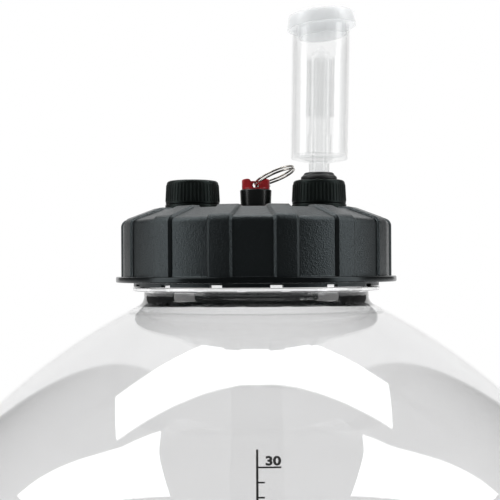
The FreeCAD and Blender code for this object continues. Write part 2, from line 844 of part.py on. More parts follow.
def make_lid():
    thread = thread_ridge("lid_thread", skirt_bore.value,
                          (skirt_bore - d.neck_thread_depth).value,
                          (neck_thread_z - d.neck_pitch / 2).value,
                          d.neck_pitch.value, d.neck_turns.value,
                          d.neck_thread_root.value, d.neck_thread_crest.value)
    solids = [make_lid_shell(), thread]
    bores = []
    for side, name in ((-1, "left_post"), (1, "right_post")):
        solids.append(make_post(side, name))
        bores.append(cylinder(name + "_bore", d.post_bore, ceiling_z - d.overrun,
                              post_rim_z + d.overrun, side * d.post_offset))
    notches = make_lip_notches()
    return cut_from("screw_lid", fused("lid_solids", *solids),
                    fused("lid_cuts", *bores, notches))


# Small notches round the lip of the lid's inner skirt
def make_lip_notches():
    body = doc.addObject("PartDesign::Body", "lip_notches")
    low = lip_z - d.overrun
    half = d.lip_notch_width / 2
    sketch = outline(body, "lip_notch", [
        corner(-half, low),
        corner(half, low),
        corner(half, lip_z + d.lip_notch_depth),
        corner(-half, lip_z + d.lip_notch_depth),
    ], shift=skirt_bore - d.neck_thread_depth)
    pad = body.newObject("PartDesign::Pad", "lip_notch_block")
    pad.Profile = sketch
    pad.setExpression("Length", (d.skirt_wall + d.neck_thread_depth + d.overrun).text)
    polar(body, pad, d.lip_notch_count)
    turn_about_z(body, d.lip_notch_angle)
    return body


# A round seal squeezed to flats above and below
def squeezed_ring(name, inner, outer, low, high, rounding):
    return turned(name, [
        corner(inner + rounding, low),
        corner(outer - rounding, low, rounding),
        corner(outer, low + rounding),
        corner(outer, high - rounding, rounding),
        corner(outer - rounding, high),
        corner(inner + rounding, high, rounding),
        corner(inner, high - rounding),
        corner(inner, low + rounding, rounding),
    ])


# Caps

def make_cap(name, side, hole):
    grip = d.cap_edge
    shell = turned(name + "_shell", [
        corner(hole, cap_ceiling_z),
        corner(cap_bore, cap_ceiling_z),
        corner(cap_bore, cap_base_z),
        corner(d.cap_base_radius, cap_base_z),
        corner(d.cap_top_radius, cap_top_z - d.cap_crown - grip, grip),
        corner(d.cap_top_radius - grip, cap_top_z - d.cap_crown),
        corner(hole, cap_top_z),
    ])
    groove_circle = d.cap_base_radius + d.cap_groove_radius - d.cap_groove_depth
    sketch = circle(shell, name + "_grip", groove_circle, as_size(0), d.cap_groove_radius,
                    shift=cap_base_z - d.overrun)
    cut = pocket(shell, sketch, cap_top_z - d.cap_crown - grip - cap_base_z + d.overrun,
                 reverse=True)
    polar(shell, cut, d.cap_groove_count)
    thread = thread_ridge(name + "_thread", cap_bore.value,
                          (cap_bore - d.post_thread_depth).value,
                          (post_thread_z - d.post_pitch / 2).value,
                          d.post_pitch.value, d.post_turns.value,
                          d.post_thread_root.value, d.post_thread_crest.value)
    return move(fused(name, shell, thread), side * d.post_offset)


# The loose ring left below a cap, held under the bead of the post
def make_band(name, side):
    low = lid_top_z + d.post_collar_height + d.running_gap
    high = cap_base_z - d.band_gap
    lip_inner = d.band_bore - d.band_lip
    band = turned(name, [
        corner(d.band_bore, low),
        corner(d.band_radius, low),
        corner(d.band_radius, high),
        corner(d.band_bore, high),
        corner(lip_inner, high - d.band_lip),
        corner(d.band_bore, high - 2 * d.band_lip),
    ])
    return move(band, side * d.post_offset)


def make_liner(name, side, hole):
    liner = turned(name, [
        corner(hole, liner_z),
        corner(cap_bore - d.loose_gap, liner_z),
        corner(cap_bore - d.loose_gap, liner_z + d.liner_thickness),
        corner(hole, liner_z + d.liner_thickness),
    ])
    return move(liner, side * d.post_offset)


# Radius of the airlock's tapered stem at a height along its axis
def stem_radius(height):
    share = (height - d.stem_tip) / (d.stem_root - d.stem_tip)
    return d.stem_tip_radius + (d.stem_top_radius - d.stem_tip_radius) * share


# A rubber grommet gripped by the edge of the cap's hole, with a leaning bore
def make_grommet():
    neck = d.grommet_neck - d.running_gap
    lip_z = cap_top_z + d.running_gap
    lip_side_z = lip_z + d.grommet_lip_side
    top_z = lip_z + d.grommet_lip_height
    tail_z = cap_ceiling_z - d.running_gap
    rounding = d.grommet_lip - d.grommet_top_radius
    body = turned("grommet_body", [
        corner(0, tail_z - d.grommet_tail_length),
        corner(d.grommet_neck, tail_z - d.grommet_tail_length),
        corner(d.grommet_tail, tail_z - rounding),
        corner(d.grommet_tail, tail_z),
        corner(neck, tail_z),
        corner(neck, lip_z),
        corner(d.grommet_lip, lip_z),
        corner(d.grommet_lip, lip_side_z, rounding),
        corner(d.grommet_top_radius, lip_side_z + rounding),
        corner(d.grommet_top_radius - rounding, top_z),
        corner(0, top_z),
    ])
    move(body, d.post_offset)
    low = -(d.grommet_tail_length + d.cap_plate + d.overrun)
    high = d.grommet_lip_height + d.overrun
    bore = doc.addObject("Part::Cone", "grommet_bore")
    bore.setExpression("Radius1", (stem_radius(low) + d.running_gap).text)
    bore.setExpression("Radius2", (stem_radius(high) + d.running_gap).text)
    bore.setExpression("Height", (high - low).text)
    bore.Placement = Placement(Vector(0, 0, 0), Rotation(Vector(0, 1, 0), d.airlock_lean.value))
    bore.setExpression("Placement.Rotation.Angle", d.airlock_lean.text)
    bore.setExpression("Placement.Base.x", (d.post_offset + low * sine(d.airlock_lean)).text)
    bore.setExpression("Placement.Base.z", (cap_top_z + low * cosine(d.airlock_lean)).text)
    return cut_from("airlock_grommet", body, bore)


# Airlock

def make_cup():
    inside_top = d.cup_top_radius - d.cup_wall
    inside_base = d.cup_base_radius - d.cup_wall
    bead_z_here = d.cup_rim - d.cup_rim_height
    body = turned("airlock_cup", [
        corner(d.stem_bore, d.stem_tip),
        corner(d.stem_tip_radius, d.stem_tip),
        corner(d.stem_top_radius, d.stem_root),
        corner(d.cup_base_radius - d.cup_corner, d.cup_base, d.cup_corner),
        corner(d.cup_base_radius, d.cup_base + d.cup_corner),
        corner(d.cup_top_radius, bead_z_here - d.cup_rim_bead),
        corner(d.cup_top_radius + d.cup_rim_bead, bead_z_here),
        corner(d.cup_top_radius + d.cup_rim_bead, d.cup_rim),
        corner(inside_top, d.cup_rim),
        corner(inside_base, d.cup_floor + d.cup_corner, d.cup_corner, -1),
        corner(inside_base - d.cup_corner, d.cup_floor),
        corner(d.tube_base_radius, d.cup_floor),
        corner(d.tube_base_radius, d.tube_base_top),
        corner(d.tube_foot_radius, d.tube_base_top),
        corner(d.tube_top_radius, d.tube_top),
        corner(d.stem_bore, d.tube_top),
    ])
    half = d.tube_slot_width / 2
    slot = outline(body, "tube_slot", [
        corner(-half, d.tube_top - d.tube_slot_depth),
        corner(half, d.tube_top - d.tube_slot_depth),
        corner(half, d.tube_top + d.overrun),
        corner(-half, d.tube_top + d.overrun),
    ])
    pocket(body, slot, 2 * d.tube_foot_radius + d.overrun, midplane=True)
    return move(body, d.post_offset, cap_top_z, d.airlock_lean)


def make_float():
    ceiling = d.tube_top + d.running_gap
    step = (d.float_radius - d.float_tip_radius) / 5
    rise = (d.float_tip - d.float_shoulder - d.float_steps) / 3
    body = turned("airlock_float", [
        corner(d.float_bore, d.float_bottom),
        corner(d.float_radius, d.float_bottom),
        corner(d.float_radius, d.float_shoulder),
        corner(d.float_radius - step, d.float_shoulder + d.float_steps),
        corner(d.float_radius - 1.5 * step, d.float_shoulder + d.float_steps),
        corner(d.float_radius - 2 * step, d.float_shoulder + d.float_steps + rise),
        corner(d.float_radius - 3 * step, d.float_shoulder + d.float_steps + rise),
        corner(d.float_tip_radius, d.float_tip),
        corner(0, d.float_tip),
        corner(0, d.float_recess_top),
        corner(d.float_tip_radius, d.float_recess_top),
        corner(d.float_recess, ceiling),
        corner(d.float_bore, ceiling),
    ])
    return move(body, d.post_offset, cap_top_z, d.airlock_lean)


# The dust cap sits a little askew on the cup's rim, with a plug ring inside and vent holes
def make_dust_cap():
    roof = d.dust_roof
    top = d.dust_roof + d.dust_plate
    edge = d.dust_edge
    inner_plug = d.dust_plug_radius - d.dust_wall
    body = turned("airlock_dust_cap", [
        corner(0, roof),
        corner(inner_plug, roof),
        corner(inner_plug, -d.dust_plug_length),
        corner(d.dust_plug_radius, -d.dust_plug_length),
        corner(d.dust_plug_radius, roof),
        corner(d.dust_top_radius - d.dust_wall, roof),
        corner(d.dust_base_radius - d.dust_wall, -d.dust_skirt),
        corner(d.dust_base_radius, -d.dust_skirt),
        corner(d.dust_top_radius, top - edge, edge),
        corner(d.dust_top_radius - edge, top),
        corner(0, top),
    ])
    sketch = circle(body, "vent", d.vent_circle, as_size(0), d.vent_radius, shift=roof - d.overrun)
    cut = pocket(body, sketch, d.dust_plate + 2 * d.overrun, reverse=True)
    polar(body, cut, d.vent_count)
    move(body, d.post_offset + d.cup_rim * sine(d.airlock_lean),
         cap_top_z + d.cup_rim * cosine(d.airlock_lean), d.dust_tilt)
    return body


# Relief valve

def make_valve_body():
    edge = d.valve_edge
    seal_outer = d.valve_shank + d.valve_seal_wall + 2 * d.running_gap
    return turned("prv_body", [
        corner(d.valve_port, valve_seat_z),
        corner(d.valve_bore, valve_seat_z),
        corner(d.valve_bore, valve_top_z),
        corner(d.valve_top_radius - edge, valve_top_z),
        corner(d.valve_top_radius, valve_top_z - edge),
        corner(d.valve_base_radius, lid_top_z),
        corner(seal_outer, lid_top_z),
        corner(seal_outer, lid_top_z + d.valve_seal_depth),
        corner(d.valve_shank, lid_top_z + d.valve_seal_depth),
        corner(d.valve_shank, lid_top_z - d.valve_shank_length),
        corner(d.valve_inlet, lid_top_z - d.valve_shank_length),
        corner(d.valve_inlet, lid_top_z - d.valve_shank_length + d.valve_inlet_depth),
        corner(d.valve_port, lid_top_z - d.valve_shank_length + d.valve_inlet_depth),
    ])


def make_lock_nut():
    nut = doc.addObject("Part::Prism", "nut_blank")
    nut.Polygon = 6
    nut.setExpression("Circumradius", d.nut_radius.text)
    nut.setExpression("Height", d.nut_thickness.text)
    low = ceiling_z - d.running_gap - d.nut_thickness
    nut.setExpression("Placement.Base.z", low.text)
    hole = cylinder("nut_hole", d.valve_shank + d.running_gap, low - d.overrun,
                    low + d.nut_thickness + d.overrun)
    return cut_from("prv_lock_nut", nut, hole)


def make_stem():
    socket_top = hub_z + d.hub_socket - d.running_gap
    return turned("prv_stem", [
        corner(0, poppet_z),
        corner(d.poppet_radius, poppet_z),
        corner(d.poppet_radius, poppet_top_z),
        corner(d.stem_rod_radius, poppet_top_z),
        corner(d.stem_rod_radius, socket_top),
        corner(0, socket_top),
    ])


def make_ring_washer(name, inner, outer, low, high):
    return turned(name, [
        corner(inner, low),
        corner(outer, low),
        corner(outer, high),
        corner(inner, high),
    ])


# The red head: two rounded lobes with a valley between them and a web with an eye
def make_pull_head():
    top = head_z + d.head_height
    rounding = d.head_round
    socket = d.stem_rod_radius + d.running_gap
    body = turned("prv_pull_head", [
        corner(socket, hub_z),
        corner(d.hub_radius, hub_z),
        corner(d.hub_radius, head_z),
        corner(d.head_radius, head_z),
        corner(d.head_radius, top - rounding, rounding),
        corner(d.head_radius - rounding, top),
        corner(0, top),
        corner(0, hub_z + d.hub_socket),
        corner(socket, hub_z + d.hub_socket),
    ])
    floor_z = head_z + d.valley_floor
    shoulder_level = head_z + d.valley_shoulder
    lobe = d.valley_top_width - d.valley_shoulder_width
    valley = outline(body, "valley", [
        corner(-d.valley_half_width, floor_z),
        corner(d.valley_half_width, floor_z),
        corner(d.valley_shoulder_width, shoulder_level),
        corner(d.valley_shoulder_width, top - lobe, lobe, -1),
        corner(d.valley_top_width, top),
        corner(d.valley_top_width, top + d.overrun),
        corner(-d.valley_top_width, top + d.overrun),
        corner(-d.valley_top_width, top, lobe, -1),
        corner(-d.valley_shoulder_width, top - lobe),
        corner(-d.valley_shoulder_width, shoulder_level),
    ])
    pocket(body, valley, 2 * (d.head_radius + d.overrun), midplane=True)
    flat = outline(body, "lobe_flat", [
        corner(d.lobe_depth, floor_z),
        corner(d.head_radius + d.overrun, floor_z),
        corner(d.head_radius + d.overrun, top + d.overrun),
        corner(d.lobe_depth, top + d.overrun),
    ], role="YZ_Plane")
    cut = pocket(body, flat, 2 * (d.head_radius + d.overrun), midplane=True)
    pair = body.newObject("PartDesign::Mirrored", "lobe_flats")
    pair.Originals = [cut]
    pair.MirrorPlane = (origin_part(body, "XZ_Plane"), [""])
    body.Tip = pair
    web = outline(body, "web", [
        corner(-d.valley_top_width, floor_z),
        corner(d.valley_top_width, floor_z),
        corner(d.valley_top_width, head_z + d.web_height),
        corner(-d.valley_top_width, head_z + d.web_height),
    ])
    pad = body.newObject("PartDesign::Pad", "web_plate")
    pad.Profile = web
    pad.SideType = "Symmetric"
    pad.setExpression("Length", d.web_thickness.text)
    eye = circle(body, "eye", as_size(0), eye_z, d.eye_radius, role="XZ_Plane")
    pocket(body, eye, d.web_thickness + d.overrun, midplane=True)
    return body


def make_spring():
    wire = d.spring_wire.value
    low = poppet_top_z.value + wire + d.running_gap.value
    high = retainer_z.value - wire - d.running_gap.value
    piece = doc.addObject("Part::Feature", "prv_spring")
    piece.Shape = coil(d.spring_radius.value, (high - low) / d.spring_turns.value,
                       d.spring_turns.value, wire)
    piece.Placement = Placement(Vector(0, 0, low), Rotation())
    return piece


# The split ring passes through the eye and lies over to the right
def make_pull_ring():
    piece = doc.addObject("Part::Feature", "prv_pull_ring")
    turns_to_eye = (180 - d.ring_end_angle.value) / 360
    middle = d.ring_pitch.value * (turns_to_eye + (d.ring_turns.value - 1) / 2)
    piece.Shape = coil(d.ring_radius.value, d.ring_pitch.value, d.ring_turns.value,
                       d.ring_wire.value)
    leaned = Rotation(Vector(0, 1, 0), -d.ring_rest_angle.value)
    rolled = Rotation(Vector(1, 0, 0), -d.ring_roll.value)
    ended = Rotation(Vector(0, 0, 1), d.ring_end_angle.value)
    eye = Placement(Vector(0, 0, eye_z.value), leaned.multiply(rolled))
    piece.Placement = eye.multiply(Placement(Vector(d.ring_radius.value, 0, -middle), ended))
    return piece


nodes = {
    "tank": make_tank(),
    "volume_scale": make_volume_scale(),
    "stand_ring": make_stand(),
    "screw_lid": make_lid(),
    "lid_o_ring": squeezed_ring("lid_o_ring", d.neck_bore + d.seal_margin,
                                d.neck_radius - d.seal_margin, rim_z + d.running_gap,
                                seal_top_z, d.seal_round),
    "blank_cap": make_cap("blank_cap", -1, as_size(0)),
    "blank_cap_liner": make_liner("blank_cap_liner", -1, as_size(0)),
    "blank_cap_band": make_band("blank_cap_band", -1),
    "airlock_cap": make_cap("airlock_cap", 1, d.grommet_neck),
    "airlock_cap_gasket": make_liner("airlock_cap_gasket", 1, d.grommet_tail + d.loose_gap),
    "airlock_cap_band": make_band("airlock_cap_band", 1),
    "airlock_grommet": make_grommet(),
    "airlock_cup": make_cup(),
    "airlock_float": make_float(),
    "airlock_dust_cap": make_dust_cap(),
    "prv_body": make_valve_body(),
    "prv_o_ring": squeezed_ring("prv_o_ring", d.valve_shank + d.running_gap,
                                d.valve_shank + d.running_gap + d.valve_seal_wall,
                                lid_top_z + d.running_gap,
                                lid_top_z + d.valve_seal_depth - d.running_gap,
                                d.valve_seal_wall / 3),
    "prv_lock_nut": make_lock_nut(),
    "prv_seat_seal": make_ring_washer("prv_seat_seal", as_size(0), d.seat_seal_radius,
                                      valve_seat_z + d.running_gap, seat_seal_top_z),
    "prv_stem": make_stem(),
    "prv_spring_retainer": make_ring_washer("prv_spring_retainer", d.retainer_bore,
                                            d.valve_bore - d.running_gap,
                                            retainer_z, retainer_top_z),
    "prv_spring": make_spring(),
    "prv_pull_head": make_pull_head(),
    "prv_pull_ring": make_pull_ring(),
}
doc.recompute()

faults = [item.Label for item in doc.Objects
          if "Invalid" in item.State or "Error" in item.State]
if faults:
    raise SystemExit("objects that did not build: " + ", ".join(faults))
for name, piece in nodes.items():
    piece.Label = name
    if piece.Shape.isNull() or not piece.Shape.isValid() or not piece.Shape.Solids:
        raise SystemExit("no valid solid: " + name)
    box = piece.Shape.BoundBox
    print(f"{name}: {len(piece.Shape.Solids)} solid, {piece.Shape.Volume / 1000:.3f} cm3, "
          f"x {box.XMin:.1f}..{box.XMax:.1f} y {box.YMin:.1f}..{box.YMax:.1f} "
          f"z {box.ZMin:.1f}..{box.ZMax:.1f}")

os.makedirs("parts", exist_ok=True)
for name, piece in nodes.items():
    piece.Shape.exportStep(f"parts/{name}.step")
print("joint places, mm: "
      f"lid top {lid_top_z.value:.3f}, cap top {cap_top_z.value:.3f}, eye {eye_z.value:.3f}, "
      f"rim {rim_z.value:.3f}, retainer {retainer_z.value:.3f}, bead top {bead_top_z.value:.3f}, "
      f"straight {low_knuckle_z.value:.3f}..{straight_top_z.value:.3f}")
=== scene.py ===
from math import atan2, cos, degrees, pi, radians, sin, sqrt, tan

import bmesh
import bpy
from mathutils import Matrix, Vector


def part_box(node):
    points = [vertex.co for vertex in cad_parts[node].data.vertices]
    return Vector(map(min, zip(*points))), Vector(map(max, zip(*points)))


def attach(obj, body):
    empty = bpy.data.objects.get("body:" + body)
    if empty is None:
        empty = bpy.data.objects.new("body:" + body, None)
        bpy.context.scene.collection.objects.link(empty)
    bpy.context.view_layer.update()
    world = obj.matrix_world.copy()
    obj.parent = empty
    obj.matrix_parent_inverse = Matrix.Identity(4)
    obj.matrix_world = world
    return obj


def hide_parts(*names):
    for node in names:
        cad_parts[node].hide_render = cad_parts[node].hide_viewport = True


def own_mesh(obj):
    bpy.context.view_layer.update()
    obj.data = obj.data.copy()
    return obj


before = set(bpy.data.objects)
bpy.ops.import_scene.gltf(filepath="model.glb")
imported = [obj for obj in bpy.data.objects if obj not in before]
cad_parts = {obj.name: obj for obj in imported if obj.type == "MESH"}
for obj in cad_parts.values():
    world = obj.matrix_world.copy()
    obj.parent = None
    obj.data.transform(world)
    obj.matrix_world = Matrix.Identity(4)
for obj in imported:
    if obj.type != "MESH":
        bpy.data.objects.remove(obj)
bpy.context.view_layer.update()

# Fermentation jar: a clear jar with a black screw lid, two capped ports, a relief valve and an airlock.
# Metres. +Z is up, the jar's axis is x = y = 0 and the volume scale faces -Y.

scene = bpy.context.scene


def low(node):
    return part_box(node)[0]


def high(node):
    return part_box(node)[1]


# ---- mesh helpers: outlines are lists of (radius, height) ----

def arc(centre, radius, start, end, steps):
    turns = [radians(start + (end - start) * i / steps) for i in range(steps + 1)]
    return [(centre[0] + radius * cos(t), centre[1] + radius * sin(t)) for t in turns]


# Corners are (radius, height, rounding); each rounded corner becomes a short arc
def rounded(corners, steps=4, looped=True):
    outline = []
    count = len(corners)
    for i, (x, z, size) in enumerate(corners):
        here = Vector((x, z))
        if size <= 0 or (not looped and i in (0, count - 1)):
            outline.append((x, z))
            continue
        back = (Vector(corners[i - 1][:2]) - here).normalized()
        ahead = (Vector(corners[(i + 1) % count][:2]) - here).normalized()
        half = back.angle(ahead) / 2
        reach = size / tan(half)
        centre = here + (back + ahead).normalized() * (size / sin(half))
        first = here + back * reach - centre
        last = here + ahead * reach - centre
        sweep = first.angle_signed(last)
        for k in range(steps + 1):
            turn = Matrix.Rotation(-sweep * k / steps, 2)
            spot = centre + turn @ first
            outline.append((spot.x, spot.y))
    return outline


def lathe(mesh, outline, steps, looped=True):
    rings = []
    for radius, height in outline:
        turns = [2 * pi * i / steps for i in range(steps if radius > 1e-7 else 1)]
        rings.append([mesh.verts.new((radius * cos(t), radius * sin(t), height)) for t in turns])
    pairs = list(zip(rings, rings[1:]))
    if looped:
        pairs.append((rings[-1], rings[0]))
    for lower, upper in pairs:
        for i in range(steps):
            j = (i + 1) % steps
            face = []
            for ring, order in ((lower, (i, j)), (upper, (j, i))):
                face += [ring[0]] if len(ring) == 1 else [ring[k] for k in order]
            if len(face) > 2:
                mesh.faces.new(face)


def turned(corners, curve, steps, looped=True):
    mesh = bmesh.new()
    lathe(mesh, rounded(corners, curve, looped), steps, looped)
    return mesh


# Joins equal closed sections into a tube and closes its ends
def skin(mesh, rows):
    count = len(rows[0])
    for one, two in zip(rows, rows[1:]):
        for k in range(count):
            after = (k + 1) % count
            mesh.faces.new([one[k], one[after], two[after], two[k]])
    mesh.faces.new(rows[0])
    mesh.faces.new(rows[-1][::-1])


ridge = {"angle": 50, "sink": 0.0004, "perTurn": 96, "fade": 0.08, "least": 0.001}


# A screw ridge that stands out of a wall (side 1) or into its bore (side -1) and fades at both ends
def screwRidge(mesh, wall, side, thread, start):
    turns, foot, land = thread["turns"], thread["foot"] / 2, thread["land"] / 2
    root = wall - side * ridge["sink"]
    count = int(turns * ridge["perTurn"])
    rows = []
    for i in range(count + 1):
        share = i / count
        full = min(1, share * turns / ridge["fade"], (1 - share) * turns / ridge["fade"])
        top = wall + side * thread["depth"] * sqrt(max(full, ridge["least"]))
        turn = radians(ridge["angle"]) + share * turns * 2 * pi
        level = start + thread["pitch"] * turns * share
        points = [(root, -foot), (wall, -foot), (top, -land), (top, land), (wall, foot), (root, foot)]
        rows.append([mesh.verts.new((r * cos(turn), r * sin(turn), level + h)) for r, h in points])
    skin(mesh, rows)


def smooth(piece, sharp):
    piece.data.shade_smooth()
    piece.data.set_sharp_from_angle(angle=radians(sharp))
    return piece


def addObject(name, data):
    piece = bpy.data.objects.new(name, data)
    scene.collection.objects.link(piece)
    return piece


def meshObject(name, mesh, sharp=30, place=None):
    if place is not None:
        bmesh.ops.transform(mesh, matrix=place, verts=mesh.verts)
    bmesh.ops.recalc_face_normals(mesh, faces=mesh.faces)
    data = bpy.data.meshes.new(name)
    mesh.to_mesh(data)
    mesh.free()
    return smooth(addObject(name, data), sharp)


def rod(name, radius, bottom, top, steps, place):
    corners = [(0, bottom, 0), (radius, bottom, 0), (radius, top, 0), (0, top, 0)]
    return meshObject(name, turned(corners, 1, steps, False), place=place)


# Puts a finished piece on its body with its material, and hides the solids that it stands for
def seat(piece, body, material, instead=()):
    piece.data.materials.clear()
    piece.data.materials.append(material)
    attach(piece, body)
    if instead:
        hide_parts(*instead)
    return piece


# Gives a second material to the faces whose centre passes a test
def repaint(piece, material, test):
    piece.data.materials.append(material)
    for face in piece.data.polygons:
        face.material_index = int(test(face.center))


def evaluated(piece):
    return bpy.data.meshes.new_from_object(piece.evaluated_get(bpy.context.evaluated_depsgraph_get()))


# Gives an object its evaluated shape as a plain mesh, with its modifiers gone
def settle(piece):
    shape, old = evaluated(piece), piece.data
    piece.modifiers.clear()
    piece.data = shape
    shape.name = piece.name
    bpy.data.meshes.remove(old)
    return piece


def drop(piece):
    data = piece.data
    bpy.data.objects.remove(piece)
    bpy.data.meshes.remove(data)


def carve(piece, cutter, operation="DIFFERENCE"):
    cut = piece.modifiers.new("carve", "BOOLEAN")
    cut.operation = operation
    cut.solver = "EXACT"
    cut.object = cutter
    settle(piece)
    drop(cutter)


def soften(piece, width, angle):
    edge = piece.modifiers.new("edge", "BEVEL")
    edge.width = width
    edge.segments = 2
    edge.limit_method = "ANGLE"
    edge.angle_limit = radians(angle)
    smooth(settle(piece), angle)


# ---- geometry nodes: one tree sets copies of a template in a ring, another winds a wire ----

def newTree(name, inputs):
    tree = bpy.data.node_groups.new(name, "GeometryNodeTree")
    for way in ("INPUT", "OUTPUT"):
        tree.interface.new_socket("Geometry", in_out=way, socket_type="NodeSocketGeometry")
    for label, kind in inputs.items():
        tree.interface.new_socket(label, in_out="INPUT", socket_type="NodeSocket" + kind)
    given = tree.nodes.new("NodeGroupInput").outputs
    result = tree.nodes.new("NodeGroupOutput").inputs

    def add(kind, sockets=None, out=0, **settings):
        node = tree.nodes.new(kind)
        for key, value in settings.items():
            setattr(node, key, value)
        for key, value in (sockets or {}).items():
            if isinstance(value, bpy.types.NodeSocket):
                tree.links.new(value, node.inputs[key])
            else:
                node.inputs[key].default_value = value
        return node.outputs[out]

    def finish(shape):
        real = add("GeometryNodeRealizeInstances", {0: shape})
        painted = add("GeometryNodeSetMaterial", {"Geometry": real, "Material": given["Material"]})
        tree.links.new(painted, result[0])
        return tree

    return add, finish, given


def makeRingTree():
    add, finish, given = newTree("copies in a ring", {
        "Template": "Object", "Count": "Int", "Start": "Float", "Centre": "Vector", "Material": "Material"})
    step = add("ShaderNodeMath", {0: 2 * pi, 1: given["Count"]}, operation="DIVIDE")
    angle = add("ShaderNodeMath", {0: add("GeometryNodeInputIndex"), 1: step, 2: given["Start"]},
                operation="MULTIPLY_ADD")
    turn = add("ShaderNodeCombineXYZ", {"Z": angle})
    copies = add("GeometryNodeInstanceOnPoints", {
        "Points": add("GeometryNodePoints", {"Count": given["Count"]}),
        "Instance": add("GeometryNodeObjectInfo", {"Object": given["Template"]}, "Geometry"),
        "Rotation": add("FunctionNodeEulerToRotation", {0: turn})})
    return finish(add("GeometryNodeTransform", {"Geometry": copies, "Translation": given["Centre"]}))


def makeWireTree():
    add, finish, given = newTree("wound wire", {
        "Radius": "Float", "Turns": "Float", "Height": "Float", "Wire": "Float", "Flat": "Float",
        "Points": "Int", "End": "Vector", "Centre": "Vector", "Tilt": "Vector", "Eye": "Vector",
        "Material": "Material"})
    spiral = add("GeometryNodeCurveSpiral", {
        "Reverse": True, "Resolution": given["Points"], "Rotations": given["Turns"],
        "Start Radius": given["Radius"], "End Radius": given["Radius"], "Height": given["Height"]})
    centred = add("GeometryNodeTransform", {
        "Geometry": spiral, "Translation": given["Centre"],
        "Rotation": add("FunctionNodeEulerToRotation", {0: given["End"]})})
    upright = add("GeometryNodeSetCurveNormal", {"Curve": centred}, mode="Z_UP")
    circle = add("GeometryNodeCurvePrimitiveCircle", {"Resolution": 16, "Radius": given["Wire"]})
    flattened = add("GeometryNodeTransform", {
        "Geometry": circle, "Scale": add("ShaderNodeCombineXYZ", {"X": given["Flat"], "Y": 1.0, "Z": 1.0})})
    tube = add("GeometryNodeCurveToMesh", {
        "Curve": upright, "Profile Curve": flattened, "Fill Caps": True})
    return finish(add("GeometryNodeTransform", {
        "Geometry": tube, "Translation": given["Eye"],
        "Rotation": add("FunctionNodeEulerToRotation", {0: given["Tilt"]})}))


ringTree = makeRingTree()
wireTree = makeWireTree()


def grow(name, tree, values):
    piece = addObject(name, bpy.data.meshes.new(name))
    modifier = piece.modifiers.new("grow", "NODES")
    modifier.node_group = tree
    for socket in tree.interface.items_tree:
        if socket.in_out == "INPUT" and socket.name in values:
            modifier[socket.identifier] = values[socket.name]
    return settle(piece)


def ringOf(name, template, count, material, start=0.0, centre=(0, 0, 0)):
    piece = grow(name, ringTree, {"Template": template, "Count": count, "Start": radians(start),
                                  "Centre": centre, "Material": material})
    drop(template)
    return piece


# ---- materials ----

class Wire:
    def __init__(self, paint, socket):
        self.paint = paint
        self.socket = socket

    def math(self, operation, *others):
        return self.paint.add("Math", dict(enumerate((self, *others))), operation=operation)

    def __add__(self, other):
        return self.math("ADD", other)

    def __sub__(self, other):
        return self.math("SUBTRACT", other)

    def __mul__(self, other):
        return self.math("MULTIPLY", other)

    def __rsub__(self, other):
        return self.paint.add("Math", {0: other, 1: self}, operation="SUBTRACT")


class Paint:
    def __init__(self, name, world=None):
        self.material = world or bpy.data.materials.new(name)
        self.material.use_nodes = True
        self.tree = self.material.node_tree
        self.tree.nodes.clear()

    def add(self, kind, sockets=None, out=0, **settings):
        node = self.tree.nodes.new("ShaderNode" + kind)
        for key, value in settings.items():
            setattr(node, key, value)
        for key, value in (sockets or {}).items():
            if isinstance(value, Wire):
                self.tree.links.new(value.socket, node.inputs[key])
            else:
                node.inputs[key].default_value = value
        return Wire(self, node.outputs[out])

    def place(self):
        return self.add("TexCoord", out="Object")

    def noise(self, scale, detail, rough=0.5):
        return self.add("TexNoise", {
            "Vector": self.place(), "Scale": scale, "Detail": detail, "Roughness": rough})

    def bump(self, height, distance):
        return self.add("Bump", {"Height": height, "Strength": 1.0, "Distance": distance})

    def shades(self, wire, first, last):
        ramp = self.add("ValToRGB", {"Fac": wire})
        for element, shade in zip(ramp.socket.node.color_ramp.elements, (first, last)):
            element.color = shade
        return ramp

    def mix(self, share, one, two):
        return self.add("MixShader", {0: share, 1: one, 2: two})

    def glow(self, kind, strength):
        return self.add(kind, {"Color": colour(1, 1, 1), "Strength": strength})

    def fade(self, value, start, end, first=0.0, last=1.0):
        return self.add("MapRange", {
            "Value": value, "From Min": start, "From Max": end, "To Min": first, "To Max": last},
            interpolation_type="SMOOTHSTEP")

    def ray(self, kind):
        return self.add("LightPath", out="Is " + kind + " Ray")

    def surface(self, wire, target="OutputMaterial"):
        output = self.tree.nodes.new("ShaderNode" + target)
        self.tree.links.new(wire.socket, output.inputs["Surface"])
        return self.material


def colour(red, green, blue):
    return (red, green, blue, 1)


plastic = {
    "skinRough": 0.02, "waveDetail": 2.0, "milk": (0.97, 0.975, 0.98), "white": (0.95, 0.96, 0.965),
    "cloudScale": 38.0, "cloudDetail": 4.0, "cloudRough": 0.6, "grainRough": 0.7,
    "roughLow": 0.85, "roughSpread": 0.3, "coatRough": 0.15,
}


# Clear plastic: what is behind shows through a faint tint, and both faces mirror by their angle
def clearPlastic(name, tint, ior, waveScale, waveDepth, haze=0.0):
    paint = Paint(name)
    wave = paint.bump(paint.noise(waveScale, plastic["waveDetail"]), waveDepth)
    inside = paint.add("NewGeometry", out="Backfacing")
    share = paint.add("Fresnel", {"IOR": inside * (1 / ior - ior) + ior, "Normal": wave})
    clear = paint.add("BsdfTransparent", {"Color": colour(*tint)})
    gloss = paint.add("BsdfGlossy", {
        "Color": colour(1, 1, 1), "Roughness": plastic["skinRough"], "Normal": wave})
    both = paint.mix(share, clear, gloss)
    if haze:
        milk = paint.add("BsdfTranslucent", {"Color": colour(*plastic["milk"])})
        white = paint.add("BsdfDiffuse", {"Color": colour(*plastic["white"])})
        both = paint.mix(haze, both, paint.mix(0.5, milk, white))
    return paint.surface(both)


